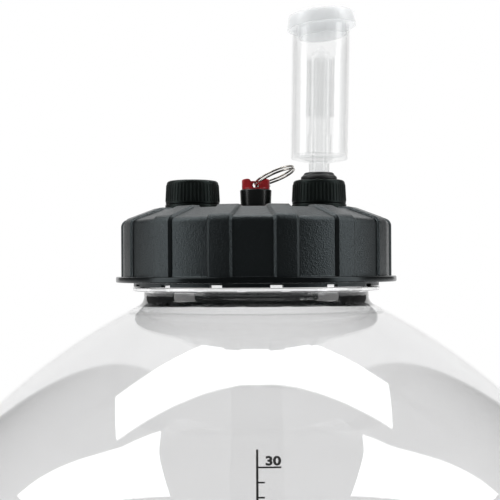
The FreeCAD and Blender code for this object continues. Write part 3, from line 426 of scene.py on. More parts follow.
# Thick clear plastic, which bends what is behind it
def solidPlastic(name, tint, ior, waveScale, waveDepth):
    paint = Paint(name)
    return paint.surface(paint.add("BsdfPrincipled", {
        "Base Color": colour(*tint), "Roughness": plastic["skinRough"], "IOR": ior,
        "Transmission Weight": 1.0,
        "Normal": paint.bump(paint.noise(waveScale, plastic["waveDetail"]), waveDepth)}))


# Moulded plastic: a fine grain from the tool and small shifts of tone and gloss
def mouldedPlastic(name, base, rough, grainScale, grainDepth, spread=0.15, coat=0.0, gleam=0.5,
                   sheen=(1, 1, 1)):
    paint = Paint(name)
    cloud = paint.noise(plastic["cloudScale"], plastic["cloudDetail"], plastic["cloudRough"])
    grain = paint.noise(grainScale, plastic["waveDetail"], plastic["grainRough"])
    dark, light = [colour(*[c * share for c in base]) for share in (1 - spread, 1 + spread)]
    return paint.surface(paint.add("BsdfPrincipled", {
        "Base Color": paint.shades(cloud, dark, light),
        "Roughness": cloud * (rough * plastic["roughSpread"]) + rough * plastic["roughLow"],
        "Normal": paint.bump(grain, grainDepth),
        "Specular IOR Level": gleam, "Specular Tint": colour(*sheen),
        "Coat Weight": coat, "Coat Roughness": plastic["coatRough"]}))


metal = {"lineDetail": 3.0, "lineRough": 0.6, "darkest": 0.88, "roughSpread": 0.12}


def bareMetal(name, base, rough, lineScale, lineDepth):
    paint = Paint(name)
    lines = paint.noise(lineScale, metal["lineDetail"], metal["lineRough"])
    return paint.surface(paint.add("BsdfPrincipled", {
        "Base Color": paint.shades(lines, colour(*[c * metal["darkest"] for c in base]), colour(*base)),
        "Metallic": 1.0, "Roughness": lines * metal["roughSpread"] + rough,
        "Normal": paint.bump(lines, lineDepth)}))


petClear = clearPlastic("petClear", (0.962, 0.962, 0.963), 1.68, 9.0, 0.00003)
petNeck = solidPlastic("petNeck", (0.98, 0.982, 0.984), 1.57, 40.0, 0.00002)
styreneClear = clearPlastic("styreneClear", (0.986, 0.987, 0.987), 1.38, 60.0, 0.00002)
styreneThick = clearPlastic("styreneThick", (0.895, 0.9, 0.9), 1.38, 60.0, 0.00002)
filmClear = clearPlastic("filmClear", (0.992, 0.992, 0.992), 1.2, 30.0, 0.00001)
capMilky = clearPlastic("capMilky", (0.975, 0.978, 0.98), 1.5, 60.0, 0.00002, haze=0.4)
blueSheen = (0.8, 0.95, 1)
lidBlack = mouldedPlastic("lidBlack", (0.003, 0.0035, 0.0037), 0.34, 1150.0, 0.0003, gleam=0.6,
                         sheen=blueSheen)
rimBlack = mouldedPlastic("rimBlack", (0.003, 0.0035, 0.0037), 0.2, 2600.0, 0.00001, gleam=0.3,
                         sheen=blueSheen)
capBlack = mouldedPlastic("capBlack", (0.005, 0.0055, 0.0053), 0.40, 2200.0, 0.00002, gleam=0.19,
                         sheen=(0.74, 1, 0.94))
valveBlack = mouldedPlastic("valveBlack", (0.007, 0.008, 0.008), 0.26, 2600.0, 0.00001, gleam=0.4)
rubberBlack = mouldedPlastic("rubberBlack", (0.012, 0.013, 0.013), 0.48, 1800.0, 0.00002)
standBlack = mouldedPlastic("standBlack", (0.016, 0.016, 0.017), 0.45, 1200.0, 0.0001)
headRed = mouldedPlastic("headRed", (0.46, 0.014, 0.02), 0.28, 2400.0, 0.000015, spread=0.08,
                         coat=0.3)
linerWhite = mouldedPlastic("linerWhite", (0.78, 0.78, 0.76), 0.6, 900.0, 0.00003, spread=0.05)
printBlack = mouldedPlastic("printBlack", (0.012, 0.012, 0.012), 0.4, 3000.0, 0.000003)
ringNickel = bareMetal("ringNickel", (0.5, 0.475, 0.435), 0.16, 700.0, 0.00001)
springSteel = bareMetal("springSteel", (0.55, 0.55, 0.56), 0.25, 900.0, 0.00001)
print("materials ready")


# ---- jar ----

jar = {
    "radius": 0.175, "wall": 0.001, "crown": 0.230, "lowKnuckle": 0.120,
    "straight": 0.164, "knuckle": 0.098, "knuckleAngle": 44.0, "shoulder": 0.322,
    "neck": 0.062, "bore": 0.0585, "neckFillet": 0.0055, "boreFillet": 0.0099, "clearFrom": 0.008,
    "bead": 0.068, "beadThick": 0.0019, "overBead": 0.0317,
    "threadDrop": 0.016, "sharp": 45, "steps": 256,
}
jarThread = {"depth": 0.0026, "foot": 0.0042, "land": 0.0016, "pitch": 0.007, "turns": 1.25}
crownZ = low("tank").z + jar["crown"]
lowKnuckleR = jar["radius"] - jar["lowKnuckle"]
lowKnuckleZ = crownZ - sqrt((jar["crown"] - jar["lowKnuckle"]) ** 2 - lowKnuckleR ** 2)
straightTopZ = lowKnuckleZ + jar["straight"]
knuckleR = jar["radius"] - jar["knuckle"]
shoulderStep = jar["shoulder"] - jar["knuckle"]
tilt = radians(jar["knuckleAngle"])
kneeAngle = 90 - jar["knuckleAngle"]
shoulderR = knuckleR - shoulderStep * sin(tilt)
shoulderZ = straightTopZ - shoulderStep * cos(tilt)
rimZ = high("tank").z
beadTopZ = rimZ - jar["overBead"]
beadZ = beadTopZ - jar["beadThick"]
threadZ = rimZ - jar["threadDrop"]


# Height of a circle's centre that touches the shoulder from outside, and the angle to it
def onShoulder(reach, centreR):
    across = centreR - shoulderR
    up = sqrt(reach ** 2 - across ** 2)
    return shoulderZ + up, degrees(atan2(up, across))


# The jar's wall from the middle of the bottom to an angle on the shoulder, moved out by an offset
def jarSide(offset, last):
    lowAngle = degrees(atan2(lowKnuckleZ - crownZ, lowKnuckleR))
    return (arc((0, crownZ), jar["crown"] + offset, -90, lowAngle, 30)
            + arc((lowKnuckleR, lowKnuckleZ), jar["lowKnuckle"] + offset, lowAngle, 0, 30)[1:]
            + arc((knuckleR, straightTopZ), jar["knuckle"] + offset, 0, kneeAngle, 30)
            + arc((shoulderR, shoulderZ), jar["shoulder"] + offset, kneeAngle, last, 60)[1:])


def makeJar():
    filletR = jar["neck"] + jar["neckFillet"]
    filletZ, outerAngle = onShoulder(jar["shoulder"] + jar["neckFillet"], filletR)
    boreR = jar["bore"] + jar["boreFillet"]
    boreZ, innerAngle = onShoulder(jar["shoulder"] - jar["wall"] + jar["boreFillet"], boreR)
    outline = jarSide(0, outerAngle)
    outline += arc((filletR, filletZ), jar["neckFillet"], outerAngle + 180, 180, 12)[1:]
    outline += rounded([
        (jar["neck"], filletZ, 0), (jar["neck"], beadZ, 0.0004), (jar["bead"], beadZ, 0.0003),
        (jar["bead"], beadTopZ, 0.0003), (jar["neck"], beadTopZ, 0.0004), (jar["neck"], rimZ, 0.0008),
        (jar["bore"], rimZ, 0.0008), (jar["bore"], boreZ, 0)], 6, False)[1:]
    outline += arc((boreR, boreZ), jar["boreFillet"], 180, innerAngle + 180, 12)[1:]
    outline += jarSide(-jar["wall"], innerAngle)[::-1][1:]
    for end in (0, -1):
        outline[end] = (0, outline[end][1])
    mesh = bmesh.new()
    lathe(mesh, outline, jar["steps"], looped=False)
    screwRidge(mesh, jar["neck"], 1, jarThread, threadZ)
    piece = seat(meshObject("jar", mesh, jar["sharp"]), "tank", petClear, ["tank"])
    repaint(piece, petNeck, lambda centre: centre.z > filletZ - jar["clearFrom"])


# ---- volume scale: a clear film with printed marks ----

scale = {
    "width": 0.022, "gap": 0.0002, "film": 0.00015, "topRadius": 0.099, "step": 0.004,
    "lineWidth": 0.00095, "lineTop": 0.0062, "markZ": 0.3708, "tickStep": 0.0052,
    "tickCount": 44, "ticksPerNumber": 10, "topNumber": 30, "numberStep": 5,
    "shortTick": 0.0030, "longTick": 0.0098, "tickThick": 0.00058,
    "digitHeight": 0.0031, "digitLift": 0.0008, "digitWide": 1.5, "digitBold": 0.06, "capShare": 0.72,
    "ink": 0.00004, "columns": 12, "lineRows": 90,
}


# The wall's face, moved out by an offset, from the film's top down to the end of the straight wall
def filmPath(offset):
    first = onShoulder(jar["shoulder"] + offset, scale["topRadius"])[1]
    path = arc((shoulderR, shoulderZ), jar["shoulder"] + offset, first, kneeAngle, 40)
    path += arc((knuckleR, straightTopZ), jar["knuckle"] + offset, kneeAngle, 0, 30)[1:]
    count = int(jar["straight"] / scale["step"])
    return path + [(jar["radius"] + offset, straightTopZ - jar["straight"] * i / count)
                   for i in range(1, count + 1)]


# Distance of that face from the jar's axis at a height
def filmRadius(height, offset):
    if height < straightTopZ:
        return jar["radius"] + offset
    knuckle = jar["knuckle"] + offset
    if height - straightTopZ < knuckle * cos(tilt):
        return knuckleR + sqrt(knuckle ** 2 - (height - straightTopZ) ** 2)
    shoulder = jar["shoulder"] + offset
    return shoulderR + sqrt(shoulder ** 2 - (height - shoulderZ) ** 2)


def onFilm(x, height, offset):
    radius = filmRadius(height, offset)
    return Vector((x, -sqrt(radius ** 2 - x ** 2), height))


def makeFilm():
    mesh = bmesh.new()
    columns = scale["columns"]
    across = [scale["width"] * (i / columns - 0.5) for i in range(columns + 1)]
    inner, outer = [
        [[mesh.verts.new((x, -sqrt(r * r - x * x), z)) for x in across]
         for r, z in filmPath(offset)]
        for offset in (scale["gap"], scale["gap"] + scale["film"])]
    for k in range(len(inner) - 1):
        for i in range(columns):
            mesh.faces.new([inner[k][i], inner[k][i + 1], inner[k + 1][i + 1], inner[k + 1][i]])
            mesh.faces.new([outer[k][i], outer[k + 1][i], outer[k + 1][i + 1], outer[k][i + 1]])
        for i in (0, columns):
            mesh.faces.new([inner[k][i], inner[k + 1][i], outer[k + 1][i], outer[k][i]])
    for k in (0, -1):
        for i in range(columns):
            mesh.faces.new([inner[k][i], inner[k][i + 1], outer[k][i + 1], outer[k][i]])
    seat(meshObject("volumeScale", mesh), "tank", filmClear, ["volume_scale"])


# A flat shape in the (x, height) plane, laid on the film as a thin printed skin
def layOnFilm(piece):
    offset = scale["gap"] + scale["film"]
    for vertex in piece.data.vertices:
        x, lift, height = vertex.co
        vertex.co = onFilm(x, height, offset + (scale["ink"] if lift < 0 else -scale["ink"]))
    return piece


def bar(mesh, left, right, bottom, top, rows=1):
    skin(mesh, [[mesh.verts.new((x, y, bottom + (top - bottom) * i / rows))
                 for x, y in ((left, -1), (right, -1), (right, 1), (left, 1))]
                for i in range(rows + 1)])


def number(text, right, bottom):
    curve = bpy.data.curves.new("number", "FONT")
    curve.body = text
    curve.size = scale["digitHeight"] / scale["capShare"]
    curve.offset = scale["digitHeight"] * scale["digitBold"]
    curve.extrude = 1.0
    curve.resolution_u = 4
    source = addObject("number", curve)
    shape = evaluated(source)
    bpy.data.objects.remove(source)
    bpy.data.curves.remove(curve)
    edge = max(v.co.x for v in shape.vertices) * scale["digitWide"]
    shape.transform(Matrix.Translation((right - edge, 0, bottom)) @ Matrix.Rotation(radians(90), 4, "X")
                    @ Matrix.Diagonal((scale["digitWide"], 1, 1, 1)))
    return shape


def makeMarks():
    mesh = bmesh.new()
    half, thick = scale["lineWidth"] / 2, scale["tickThick"] / 2
    top = scale["markZ"]
    bottom = top - scale["tickCount"] * scale["tickStep"]
    bar(mesh, -half, half, bottom - thick, top + scale["lineTop"], scale["lineRows"])
    for tick in range(scale["tickCount"] + 1):
        level = top - tick * scale["tickStep"]
        numbered = tick % scale["ticksPerNumber"] == 0
        bar(mesh, 0, scale["longTick" if numbered else "shortTick"], level - thick, level + thick)
        if numbered:
            value = scale["topNumber"] - scale["numberStep"] * tick // scale["ticksPerNumber"]
            shape = number(str(value), scale["longTick"], level + scale["digitLift"])
            mesh.from_mesh(shape)
            bpy.data.meshes.remove(shape)
    seat(layOnFilm(meshObject("volumeMarks", mesh)), "tank", printBlack)


makeJar()
makeFilm()
makeMarks()
print("jar and scale ready")


# ---- lid ----

lid = {
    "flange": 0.0772, "flangeThick": 0.0031, "flangeOverBead": 0.00265, "height": 0.0385, "grainEnd": 0.0008,
    "panel": 0.07315, "wall": 0.00285, "cornerHeight": 0.0324, "corner": 0.003, "slope": 20.6,
    "plate": 0.003, "hole": 0.007, "plugOut": 0.0582, "plugIn": 0.0557, "plugLength": 0.008,
    "groove": 0.0623, "grooveOverRim": 0.0026, "landDrop": 0.0017, "skirtIn": 0.0650,
    "skirtOut": 0.0676, "lipOverBead": 0.0004, "roofDrop": 0.0028,
    "ribCount": 14, "ribAngle": 11.66, "ribHeight": 0.00125, "ribBase": 0.0128, "ribLand": 0.0102,
    "ribEnd": 0.0515, "ribSink": 0.0009, "ribRound": 0.00035,
    "notchCount": 14, "notchAngle": 8.6, "notchWidth": 0.0065, "notchDepth": 0.0013, "lipRows": 12,
    "topRound": 0.004, "overlap": 0.0002, "sharp": 40, "steps": 240,
}
port = {
    "x": 0.0351, "bore": 0.01085, "out": 0.0125, "bead": 0.0137, "collar": 0.0143, "collarHeight": 0.00105,
    "beadLow": 0.0033, "beadEdge": 0.0045, "beadTop": 0.0053, "height": 0.0151, "threadZ": 0.008,
    "overHole": 0.0004, "cutDown": 0.02, "cutUp": 0.005, "steps": 96,
}
portThread = {"depth": 0.0011, "foot": 0.0015, "land": 0.0005, "pitch": 0.0027, "turns": 1.5}
flangeZ = beadTopZ + lid["flangeOverBead"]
flangeTopZ = flangeZ + lid["flangeThick"]
lidTopZ = flangeZ + lid["height"]
cornerZ = flangeZ + lid["cornerHeight"]
slope = radians(lid["slope"])
topEdgeR = lid["panel"] - (lidTopZ - cornerZ) / tan(slope)
lipZ = beadTopZ + lid["lipOverBead"]
capTopZ = high("airlock_cap").z


def overPort(side):
    return Matrix.Translation((side * port["x"], 0, 0))


def makeLidShell():
    footZ = rimZ - lid["plugLength"]
    grooveZ = rimZ + lid["grooveOverRim"]
    landZ = grooveZ - lid["landDrop"]
    notchZ = lipZ + lid["notchDepth"]
    ceilingZ = lidTopZ - lid["plate"]
    roofZ = cornerZ - lid["roofDrop"]
    inner = lid["panel"] - lid["wall"]
    mesh = turned([
        (lid["hole"], ceilingZ, 0), (lid["plugIn"], ceilingZ, 0.0008),
        (lid["plugIn"], footZ, 0.0005), (lid["plugOut"], footZ, 0.0008),
        (lid["plugOut"], grooveZ, 0), (lid["groove"], grooveZ, 0),
        (lid["groove"], landZ, 0.0003), (lid["skirtIn"], landZ, 0.0005),
        (lid["skirtIn"], notchZ, 0), (lid["skirtOut"], notchZ, 0),
        (lid["skirtOut"], roofZ, 0.0006), (inner, roofZ, 0.0006),
        (inner, flangeZ, 0.0006), (lid["flange"], flangeZ, 0.0007),
        (lid["flange"], flangeTopZ, 0.0007), (lid["panel"], flangeTopZ, 0.0007),
        (lid["panel"], cornerZ, lid["corner"]), (topEdgeR, lidTopZ, lid["topRound"]),
        (lid["hole"], lidTopZ, 0.0003)], 6, lid["steps"])
    screwRidge(mesh, lid["skirtIn"], -1, jarThread, threadZ - jarThread["pitch"] / 2)
    return meshObject("lidShell", mesh, lid["sharp"])


# One rib: its section is swept up the wall, over the corner and chamfer and onto the top
def ribTemplate():
    path = rounded([
        (lid["panel"], flangeTopZ - lid["overlap"], 0), (lid["panel"], cornerZ, lid["corner"]),
        (topEdgeR, lidTopZ, lid["topRound"]), (lid["ribEnd"], lidTopZ, 0)], 8, False)
    half, top = lid["ribBase"] / 2, lid["ribLand"] / 2
    section = rounded([
        (-half, -lid["ribSink"], 0), (-half, 0, 0), (-top, lid["ribHeight"], lid["ribRound"]),
        (top, lid["ribHeight"], lid["ribRound"]), (half, 0, 0), (half, -lid["ribSink"], 0)], 3)
    mesh = bmesh.new()
    spots = [Vector(p) for p in path]
    rows = []
    for i, spot in enumerate(spots):
        ahead = spots[min(i + 1, len(spots) - 1)] - spots[max(i - 1, 0)]
        out = Vector((ahead.y, -ahead.x)).normalized()
        rows.append([mesh.verts.new((spot.x + out.x * up, side, spot.y + out.y * up))
                     for side, up in section])
    skin(mesh, rows)
    return meshObject("ribTemplate", mesh, lid["sharp"])


# The lip of the inner skirt between two notches
def lipTemplate():
    gap = lid["notchWidth"] / lid["skirtOut"]
    span = 2 * pi / lid["notchCount"] - gap
    roof = lipZ + lid["notchDepth"] + lid["overlap"]
    mesh = bmesh.new()
    rows = []
    for i in range(lid["lipRows"] + 1):
        turn = gap / 2 + span * i / lid["lipRows"]
        rows.append([mesh.verts.new((lid[side] * cos(turn), lid[side] * sin(turn), z)) for side, z in (
            ("skirtIn", lipZ), ("skirtOut", lipZ), ("skirtOut", roof), ("skirtIn", roof))])
    skin(mesh, rows)
    return meshObject("lipTemplate", mesh, lid["sharp"])


def makePort(side, name):
    under = lidTopZ - lid["plate"]
    collarZ = lidTopZ + port["collarHeight"]
    beadZs = [lidTopZ + port[key] for key in ("beadLow", "beadEdge", "beadTop")]
    top = lidTopZ + port["height"]
    mesh = turned([
        (port["bore"], under - lid["overlap"], 0), (port["collar"], under + port["overHole"], 0),
        (port["collar"], collarZ, 0.0004), (port["out"], collarZ, 0.0003),
        (port["out"], beadZs[0], 0), (port["bead"], beadZs[1], 0.0002),
        (port["bead"], beadZs[2], 0.0002), (port["out"], beadZs[2], 0),
        (port["out"], top, 0.0004), (port["bore"], top, 0.0004)], 3, port["steps"])
    screwRidge(mesh, port["out"], 1, portThread, lidTopZ + port["threadZ"])
    piece = meshObject(name, mesh, lid["sharp"], overPort(side))
    seat(piece, "lid", capBlack, ["screw_lid"])


shell = makeLidShell()
for side in (-1, 1):
    carve(shell, rod("boreCutter", port["bore"], lidTopZ - port["cutDown"], lidTopZ + port["cutUp"],
                     port["steps"], overPort(side)))
seat(smooth(shell, lid["sharp"]), "lid", lidBlack, ["screw_lid"])
# The flange has no grain
repaint(shell, rimBlack, lambda centre: centre.xy.length > lid["panel"] + lid["grainEnd"])
makePort(-1, "leftPort")
makePort(1, "rightPort")
for name, template, count, angle in (("lidRibs", ribTemplate(), lid["ribCount"], lid["ribAngle"]),
                                     ("lidLip", lipTemplate(), lid["notchCount"], lid["notchAngle"])):
    copies = ringOf(name, template, count, lidBlack, angle - 90)
    seat(copies, "lid", lidBlack, ["screw_lid"])
print("lid ready")


# ---- caps and their bands ----

cap = {
    "base": 0.01495, "top": 0.01425, "bore": 0.01385, "plate": 0.0017, "crown": 0.0006, "edge": 0.0017,
    "baseOverLid": 0.0044, "grips": 48, "gripWidth": 0.0011, "gripHeight": 0.00025, "gripSink": 0.0002,
    "gripFoot": 0.0004, "gripEnd": 0.7, "gripRows": 8, "gripFade": 8, "gripLeast": 0.05,
    "hole": 0.008, "sharp": 40, "steps": 144,
    "bandOut": 0.0152, "bandIn": 0.01395, "bandLow": 0.0011, "bandHigh": 0.00415, "bandLip": 0.00055,
}


def gripTemplate(bottom, top):
    mesh = bmesh.new()
    rows = []
    for i in range(cap["gripRows"] + 1):
        share = i / cap["gripRows"]
        rise = (top - bottom) * share
        wall = cap["base"] + (cap["top"] - cap["base"]) * rise / (capTopZ - bottom) - cap["gripSink"]
        full = min(1, *[cap["gripFade"] * end + cap["gripLeast"] for end in (1 - share, share)])
        crest = (cap["gripHeight"] + cap["gripSink"]) * full
        rows.append([mesh.verts.new((wall + crest * bulge, cap["gripWidth"] / 2 * side, bottom + rise))
                     for side, bulge in ((-1, 0), (-0.6, 0.75), (0, 1), (0.6, 0.75), (1, 0))])
    skin(mesh, rows)
    return meshObject("gripTemplate", mesh, 60)


def makeCap(name, side, hole, node, body):
    base = lidTopZ + cap["baseOverLid"]
    ceiling = capTopZ - cap["plate"]
    edgeZ = capTopZ - cap["crown"]
    mesh = turned([
        (hole, ceiling, 0), (cap["bore"], ceiling, 0.0003), (cap["bore"], base, 0.0003),
        (cap["base"], base, 0.0004), (cap["top"], edgeZ, cap["edge"]), (hole, capTopZ, 0)],
        6, cap["steps"], looped=hole > 0)
    screwRidge(mesh, cap["bore"], -1, portThread, lidTopZ + port["threadZ"] - portThread["pitch"] / 2)
    seat(meshObject(name, mesh, cap["sharp"], overPort(side)), body, capBlack, [node])
    template = gripTemplate(base + cap["gripFoot"], edgeZ - cap["edge"] * cap["gripEnd"])
    grips = ringOf(name + "Grips", template, cap["grips"], capBlack, 0, overPort(side).translation)
    seat(grips, body, capBlack, [node])


def makeBand(name, side, node):
    lowZ, highZ = lidTopZ + cap["bandLow"], lidTopZ + cap["bandHigh"]
    lip = cap["bandLip"]
    mesh = turned([
        (cap["bandIn"], lowZ, 0.0002), (cap["bandOut"], lowZ, 0.0004), (cap["bandOut"], highZ, 0.0004),
        (cap["bandIn"], highZ, 0.0002), (cap["bandIn"] - lip, highZ - lip, 0),
        (cap["bandIn"], highZ - 2 * lip, 0)], 4, cap["steps"])
    band = meshObject(name, mesh, cap["sharp"], overPort(side))
    seat(band, "lid", capBlack, [node])


makeCap("blankCap", -1, 0, "blank_cap", "blank_cap")
makeCap("airlockCap", 1, cap["hole"], "airlock_cap", "airlock_cap")
makeBand("blankBand", -1, "blank_cap_band")
makeBand("airlockBand", 1, "airlock_cap_band")
print("caps ready")


# ---- airlock: heights are along its leaning axis, from the middle of the cap's top ----

airlock = {
    "lean": 1.1, "stemTop": 0.0058, "stemTip": 0.0051, "stemBore": 0.0040,
    "tipZ": -0.015, "rootZ": 0.0092, "baseZ": 0.0112, "floorZ": 0.0133, "rimZ": 0.0889,
    "base": 0.0158, "top": 0.0160, "wall": 0.0013, "corner": 0.0013, "rimBead": 0.0006, "beadHeight": 0.0016,
    "tubeBase": 0.00675, "tubeBaseZ": 0.025, "tubeFoot": 0.0059, "tubeTop": 0.00555, "tubeZ": 0.0665,
    "float": 0.0078, "floatBore": 0.0066, "floatZ": 0.0348, "floatShoulder": 0.0672, "floatTip": 0.0744,
    "tip": 0.0008, "stepRise": 0.0016, "overTube": 0.00005, "hollow": 0.0034, "hollowZ": 0.071,
    "sharp": 40, "steps": 128,
}
dust = {
    "tilt": -4.4, "roof": 0.00185, "plate": 0.00115, "skirt": 0.0047, "top": 0.0182, "base": 0.0192,
    "wall": 0.0011, "plug": 0.0134, "plugLength": 0.0094, "vents": 6, "vent": 0.0008, "ventCircle": 0.008,
    "drillReach": 0.001, "drillSteps": 24,
}
grommet = {
    "neck": 0.00795, "lip": 0.0100, "side": 0.0014, "height": 0.0039, "top": 0.0087, "tail": 0.0096,
    "tailLength": 0.005, "bore": 0.00592, "tailTaper": 0.0012, "tailGap": 0.0001, "lipGap": 0.00005,
    "shoulder": 0.0011, "crownIn": 0.0008, "crownDrop": 0.0003, "steps": 96,
}
airlockPlace = (Matrix.Translation((port["x"], 0, capTopZ))
                @ Matrix.Rotation(radians(airlock["lean"]), 4, "Y"))
rimCentre = airlockPlace @ Vector((0, 0, airlock["rimZ"]))
dustPlace = Matrix.Translation(rimCentre) @ Matrix.Rotation(radians(dust["tilt"]), 4, "Y")


def makeCup():
    a = airlock
    inTop, inBase = a["top"] - a["wall"], a["base"] - a["wall"]
    beadLow, beadOut = a["rimZ"] - a["beadHeight"], a["top"] + a["rimBead"]
    mesh = turned([
        (a["stemBore"], a["tipZ"], 0.0002), (a["stemTip"], a["tipZ"], 0.0004),
        (a["stemTop"], a["rootZ"], 0.0006), (a["base"], a["baseZ"], a["corner"]),
        (a["top"], beadLow - a["rimBead"], 0.0003), (beadOut, beadLow, 0.0003),
        (beadOut, a["rimZ"], 0.0004), (inTop, a["rimZ"], 0.0003),
        (inBase, a["floorZ"], a["corner"]), (a["tubeBase"], a["floorZ"], 0.0006),
        (a["tubeBase"], a["tubeBaseZ"], 0.0004), (a["tubeFoot"], a["tubeBaseZ"], 0.0003),
        (a["tubeTop"], a["tubeZ"], 0.0003), (a["stemBore"], a["tubeZ"], 0.0003)], 5, a["steps"])
    cup = meshObject("airlockCup", mesh, a["sharp"], airlockPlace)
    seat(cup, "airlock", styreneClear, ["airlock_cup"])
    # The stem and the floor are thicker, so they look greyer
    upright = airlockPlace.inverted()
    repaint(cup, styreneThick, lambda centre: (upright @ centre).z < a["floorZ"] + a["wall"] / 2)


def makeFloat():
    a = airlock
    foot, tip = a["floatZ"], a["floatTip"]
    step = (a["float"] - a["tip"]) / 5
    low = a["floatShoulder"] + a["stepRise"]
    middle = low + (tip - low) / 3
    ceiling = a["tubeZ"] + a["overTube"]
    outline = rounded([
        (a["floatBore"], foot, 0.0002), (a["float"], foot, 0.0003), (a["float"], a["floatShoulder"], 0.0005),
        (a["float"] - step, low, 0.0003), (a["float"] - 1.5 * step, low, 0.0003),
        (a["float"] - 2 * step, middle, 0.0003), (a["float"] - 3 * step, middle, 0.0003),
        (a["tip"], tip, 0.0003), (0, tip, 0)], 4, False)
    outline += rounded([
        (0, a["hollowZ"], 0), (a["tip"], a["hollowZ"], 0.0002), (a["hollow"], ceiling, 0.0003),
        (a["floatBore"], ceiling, 0.0005), (a["floatBore"], foot, 0)], 4, False)[:-1]
    mesh = bmesh.new()
    lathe(mesh, outline + [outline[0]], a["steps"], False)
    bmesh.ops.remove_doubles(mesh, verts=mesh.verts, dist=1e-6)
    bell = meshObject("airlockFloat", mesh, a["sharp"], airlockPlace)
    seat(bell, "float", styreneClear, ["airlock_float"])


def makeDustCap():
    d = dust
    roof, top = d["roof"], d["roof"] + d["plate"]
    plugIn = d["plug"] - d["wall"]
    piece = meshObject("dustCap", turned([
        (0, roof, 0), (plugIn, roof, 0.0003), (plugIn, -d["plugLength"], 0.0002),
        (d["plug"], -d["plugLength"], 0.0004), (d["plug"], roof, 0.0003),
        (d["top"] - d["wall"], roof, 0.0005), (d["base"] - d["wall"], -d["skirt"], 0.0002),
        (d["base"], -d["skirt"], 0.0004), (d["top"], top, 0.0012), (0, top, 0)],
        5, airlock["steps"], False))
    drill = rod("drill", d["vent"], roof - d["drillReach"], top + d["drillReach"], d["drillSteps"],
                Matrix.Translation((d["ventCircle"], 0, 0)))
    carve(piece, ringOf("ventDrills", drill, d["vents"], capMilky))
    piece.data.transform(dustPlace)
    seat(smooth(piece, airlock["sharp"]), "dust_cap", capMilky, ["airlock_dust_cap"])


def makeGrommet():
    g = grommet
    ceiling = capTopZ - cap["plate"]
    tailZ, tailTopZ = ceiling - g["tailLength"], ceiling - g["tailGap"]
    lipZ, sideZ, crownZ = [capTopZ + g[key] for key in ("lipGap", "side", "height")]
    mesh = turned([
        (g["bore"], tailZ, 0.0003), (g["neck"], tailZ, 0.0004),
        (g["tail"], ceiling - g["tailTaper"], 0.0006), (g["tail"], tailTopZ, 0.0003),
        (g["neck"], tailTopZ, 0), (g["neck"], lipZ, 0), (g["lip"], lipZ, 0.0003), (g["lip"], sideZ, 0.0010),
        (g["top"], sideZ + g["shoulder"], 0.0006), (g["top"] - g["crownIn"], crownZ, 0.0009),
        (g["bore"], crownZ - g["crownDrop"], 0.0004)], 5, g["steps"])
    collar = meshObject("grommet", mesh, airlock["sharp"], overPort(1))
    seat(collar, "airlock_cap", rubberBlack, ["airlock_grommet"])


makeCup()
makeFloat()
makeDustCap()
makeGrommet()
print("airlock ready")


# ---- relief valve ----

valve = {
    "base": 0.00825, "top": 0.0088, "height": 0.0124, "edge": 0.0006, "bore": 0.0054,
    "seatDrop": 0.005, "port": 0.0026, "shank": 0.0068, "shankLength": 0.010, "steps": 96, "sharp": 40,
    "head": 0.0078, "headHeight": 0.0059, "headGap": 0.00005, "headRound": 0.0010, "headEdge": 0.00025,
    "floor": 0.0008, "floorHalf": 0.0020, "kneeHeight": 0.0024, "kneeHalf": 0.00275, "lobeHalf": 0.0043,
    "lobeDepth": 0.0044, "cutReach": 0.012, "cutOver": 0.002, "slabHalf": 0.004,
    "web": 0.0022, "webHeight": 0.0049, "webSink": 0.0003, "eyeHeight": 0.0026, "eye": 0.00165,
    "eyeReach": 0.003, "eyeSteps": 32, "hub": 0.0030, "hubLength": 0.0034,
    "ringRadius": 0.01145, "ringWire": 0.00055, "ringPitch": 0.00155, "ringTurns": 2.0, "ringTilt": 22.0,
    "ringRoll": 8.0, "ringEnd": 110.0, "ringFlat": 1.3, "ringPoints": 96, "wireSharp": 50,
    "spring": 0.004, "springWire": 0.00045, "springTurns": 5.0, "springPoints": 48, "lift": 0.003,
}
valveTopZ = lidTopZ + valve["height"]
headZ = valveTopZ + valve["headGap"]


def makeValveBody():
    v = valve
    seatZ, shankZ = lidTopZ - v["seatDrop"], lidTopZ - v["shankLength"]
    mesh = turned([
        (v["port"], seatZ, 0), (v["bore"], seatZ, 0.0003), (v["bore"], valveTopZ, 0.0003),
        (v["top"], valveTopZ, v["edge"]), (v["base"], lidTopZ, 0.0003), (v["shank"], lidTopZ, 0),
        (v["shank"], shankZ, 0.0005), (v["port"], shankZ, 0.0003)], 5, v["steps"])
    body = meshObject("valveBody", mesh, v["sharp"])
    seat(body, "lid", valveBlack, ["prv_body"])


# A shape in the (x, height) plane, as thick on both sides of y = 0
def extruded(name, points, depth):
    mesh = bmesh.new()
    skin(mesh, [[mesh.verts.new((x, y, z)) for x, z in points] for y in (-depth, depth)])
    return meshObject(name, mesh)


def block(name, half, bottom, top, depth):
    return extruded(name, [(-half, bottom), (half, bottom), (half, top), (-half, top)], depth)


